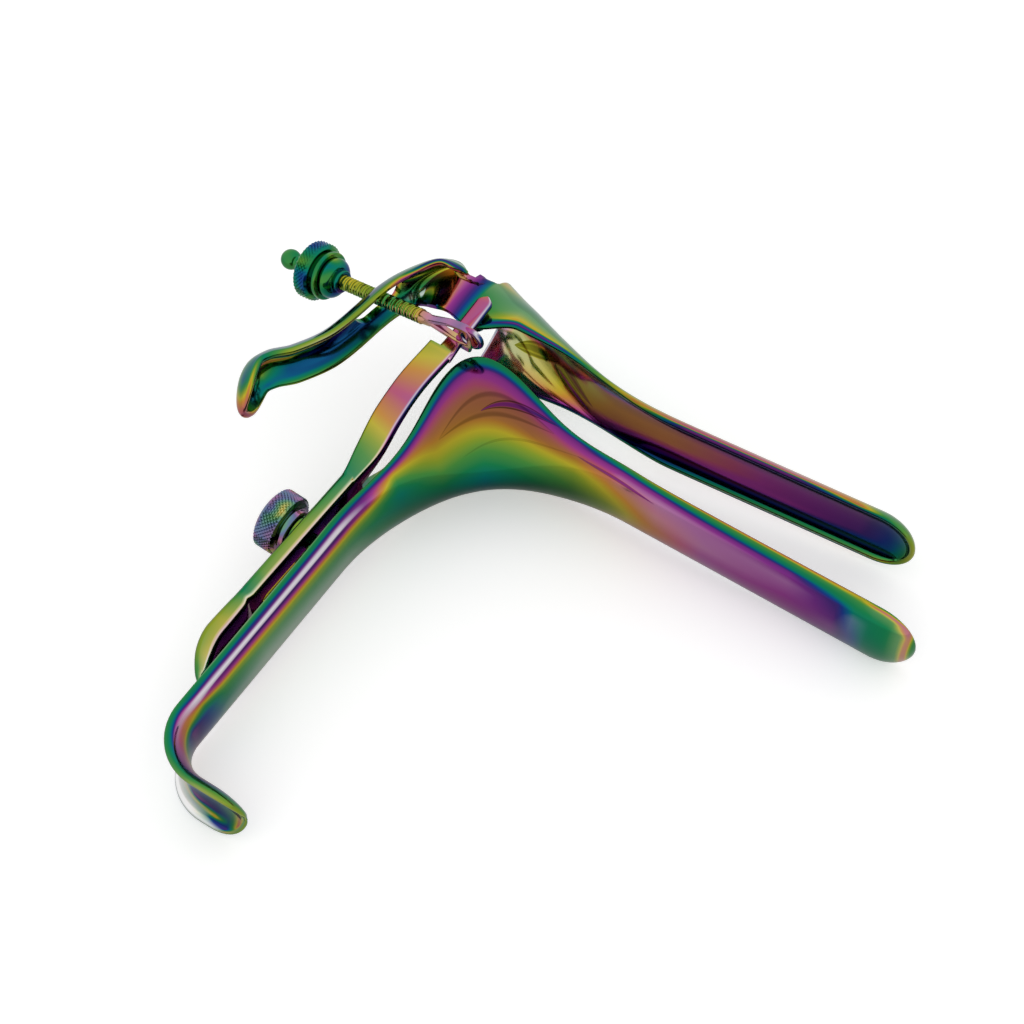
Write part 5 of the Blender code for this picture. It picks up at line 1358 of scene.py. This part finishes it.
bead_end = BEAD_FRONT + HANDLE_BEAD_LENGTH
nut_end = bead_end + HANDLE_NUT_LENGTH
knurled = HANDLE_NUT_RADIUS - KNURL_DEPTH
handle_nut = plain_object("handle_nut_skin", *turned_body(eased((
    (BEAD_FRONT, bore, 0.0), (BEAD_FRONT, HANDLE_BEAD_RADIUS, 0.6), (bead_end, HANDLE_BEAD_RADIUS, 0.5),
    (bead_end, 6.1, 0.2), (bead_end + 0.6, knurled, 0.2), (nut_end - 0.7, knurled, 0.2), (nut_end, 5.9, 0.4),
    (nut_end, bore, 0.0),
)), 96, closed=True))
# Painted highlight: the nut's film colour is whitened a little all over
nut_metal = film_metal("handle_nut_film_painted_light", film=0.12, drift=1.1, tone=1.15, grain=600.0)
knurl(
    handle_nut, HANDLE_NUT_RADIUS, bead_end + 0.4, HANDLE_NUT_LENGTH - 0.9, teeth=44, rows=9,
    metal=nut_metal,
)
lay(handle_nut, stud_turn, stud_origin, 25.0)
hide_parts("handle_nut")
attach(handle_nut, "clamp_nut")

# Studio: a table covered with white paper, which shows a faint shadow, and white surroundings that
# light the steel evenly from all sides. The paper glows a little where the camera sees it.
reach = 3.0
drop = -0.0002
floor_mesh = bpy.data.meshes.new("table_top")
corners = [(-reach, -reach, drop), (reach, -reach, drop), (reach, reach, drop), (-reach, reach, drop)]
floor_mesh.from_pydata(corners, [], [[0, 1, 2, 3]])
table_top = new_object("table_top", floor_mesh)
paper = bpy.data.materials.new("white_paper")
paper.use_nodes = True
seen = add(paper.node_tree, "ShaderNodeLightPath")["Is Camera Ray"]
feed(paper.node_tree, paper.node_tree.nodes["Principled BSDF"], {
    "Base Color": (0.8, 0.8, 0.8, 1.0), "Roughness": 0.9, "Specular IOR Level": 0.0,
    "Emission Color": (1.0, 1.0, 1.0, 1.0),
    "Emission Strength": calculated(paper.node_tree, "MULTIPLY", seen, 0.4),
})
floor_mesh.materials.append(paper)

world = bpy.data.worlds.new("studio")
bpy.context.scene.world = world
world.use_nodes = True
feed(world.node_tree, world.node_tree.nodes["Background"], {"Color": (1.0, 1.0, 1.0, 1.0), "Strength": 0.9})

# Camera: above and before the instrument, looking at its near side. Its axes are those of the upright
# instrument, and its lens is given by the focal length and width of the picture in pixels.
FOCAL_PIXELS = 2608.0
PICTURE_PIXELS = 1024.0
VIEW_DISTANCE = 566.9
view_right = Vector((0.8378, 0.0101, 0.5459))
view_up = Vector((-0.467, -0.5047, 0.7261))
view_back = view_right.cross(view_up)
camera_data = bpy.data.cameras.new("camera")
camera = new_object("camera", camera_data)
camera_data.sensor_width = 36.0
camera_data.lens = camera_data.sensor_width * FOCAL_PIXELS / PICTURE_PIXELS
camera_data.clip_start = 0.01
camera_data.clip_end = 20.0
turn = Matrix((view_right, view_up, view_back)).transposed()
place = (lying @ turn).to_4x4()
place.translation = Vector(laid([view_back * VIEW_DISTANCE])[0])
camera.matrix_world = place
bpy.context.scene.camera = camera
bpy.context.scene.view_settings.view_transform = "Standard"
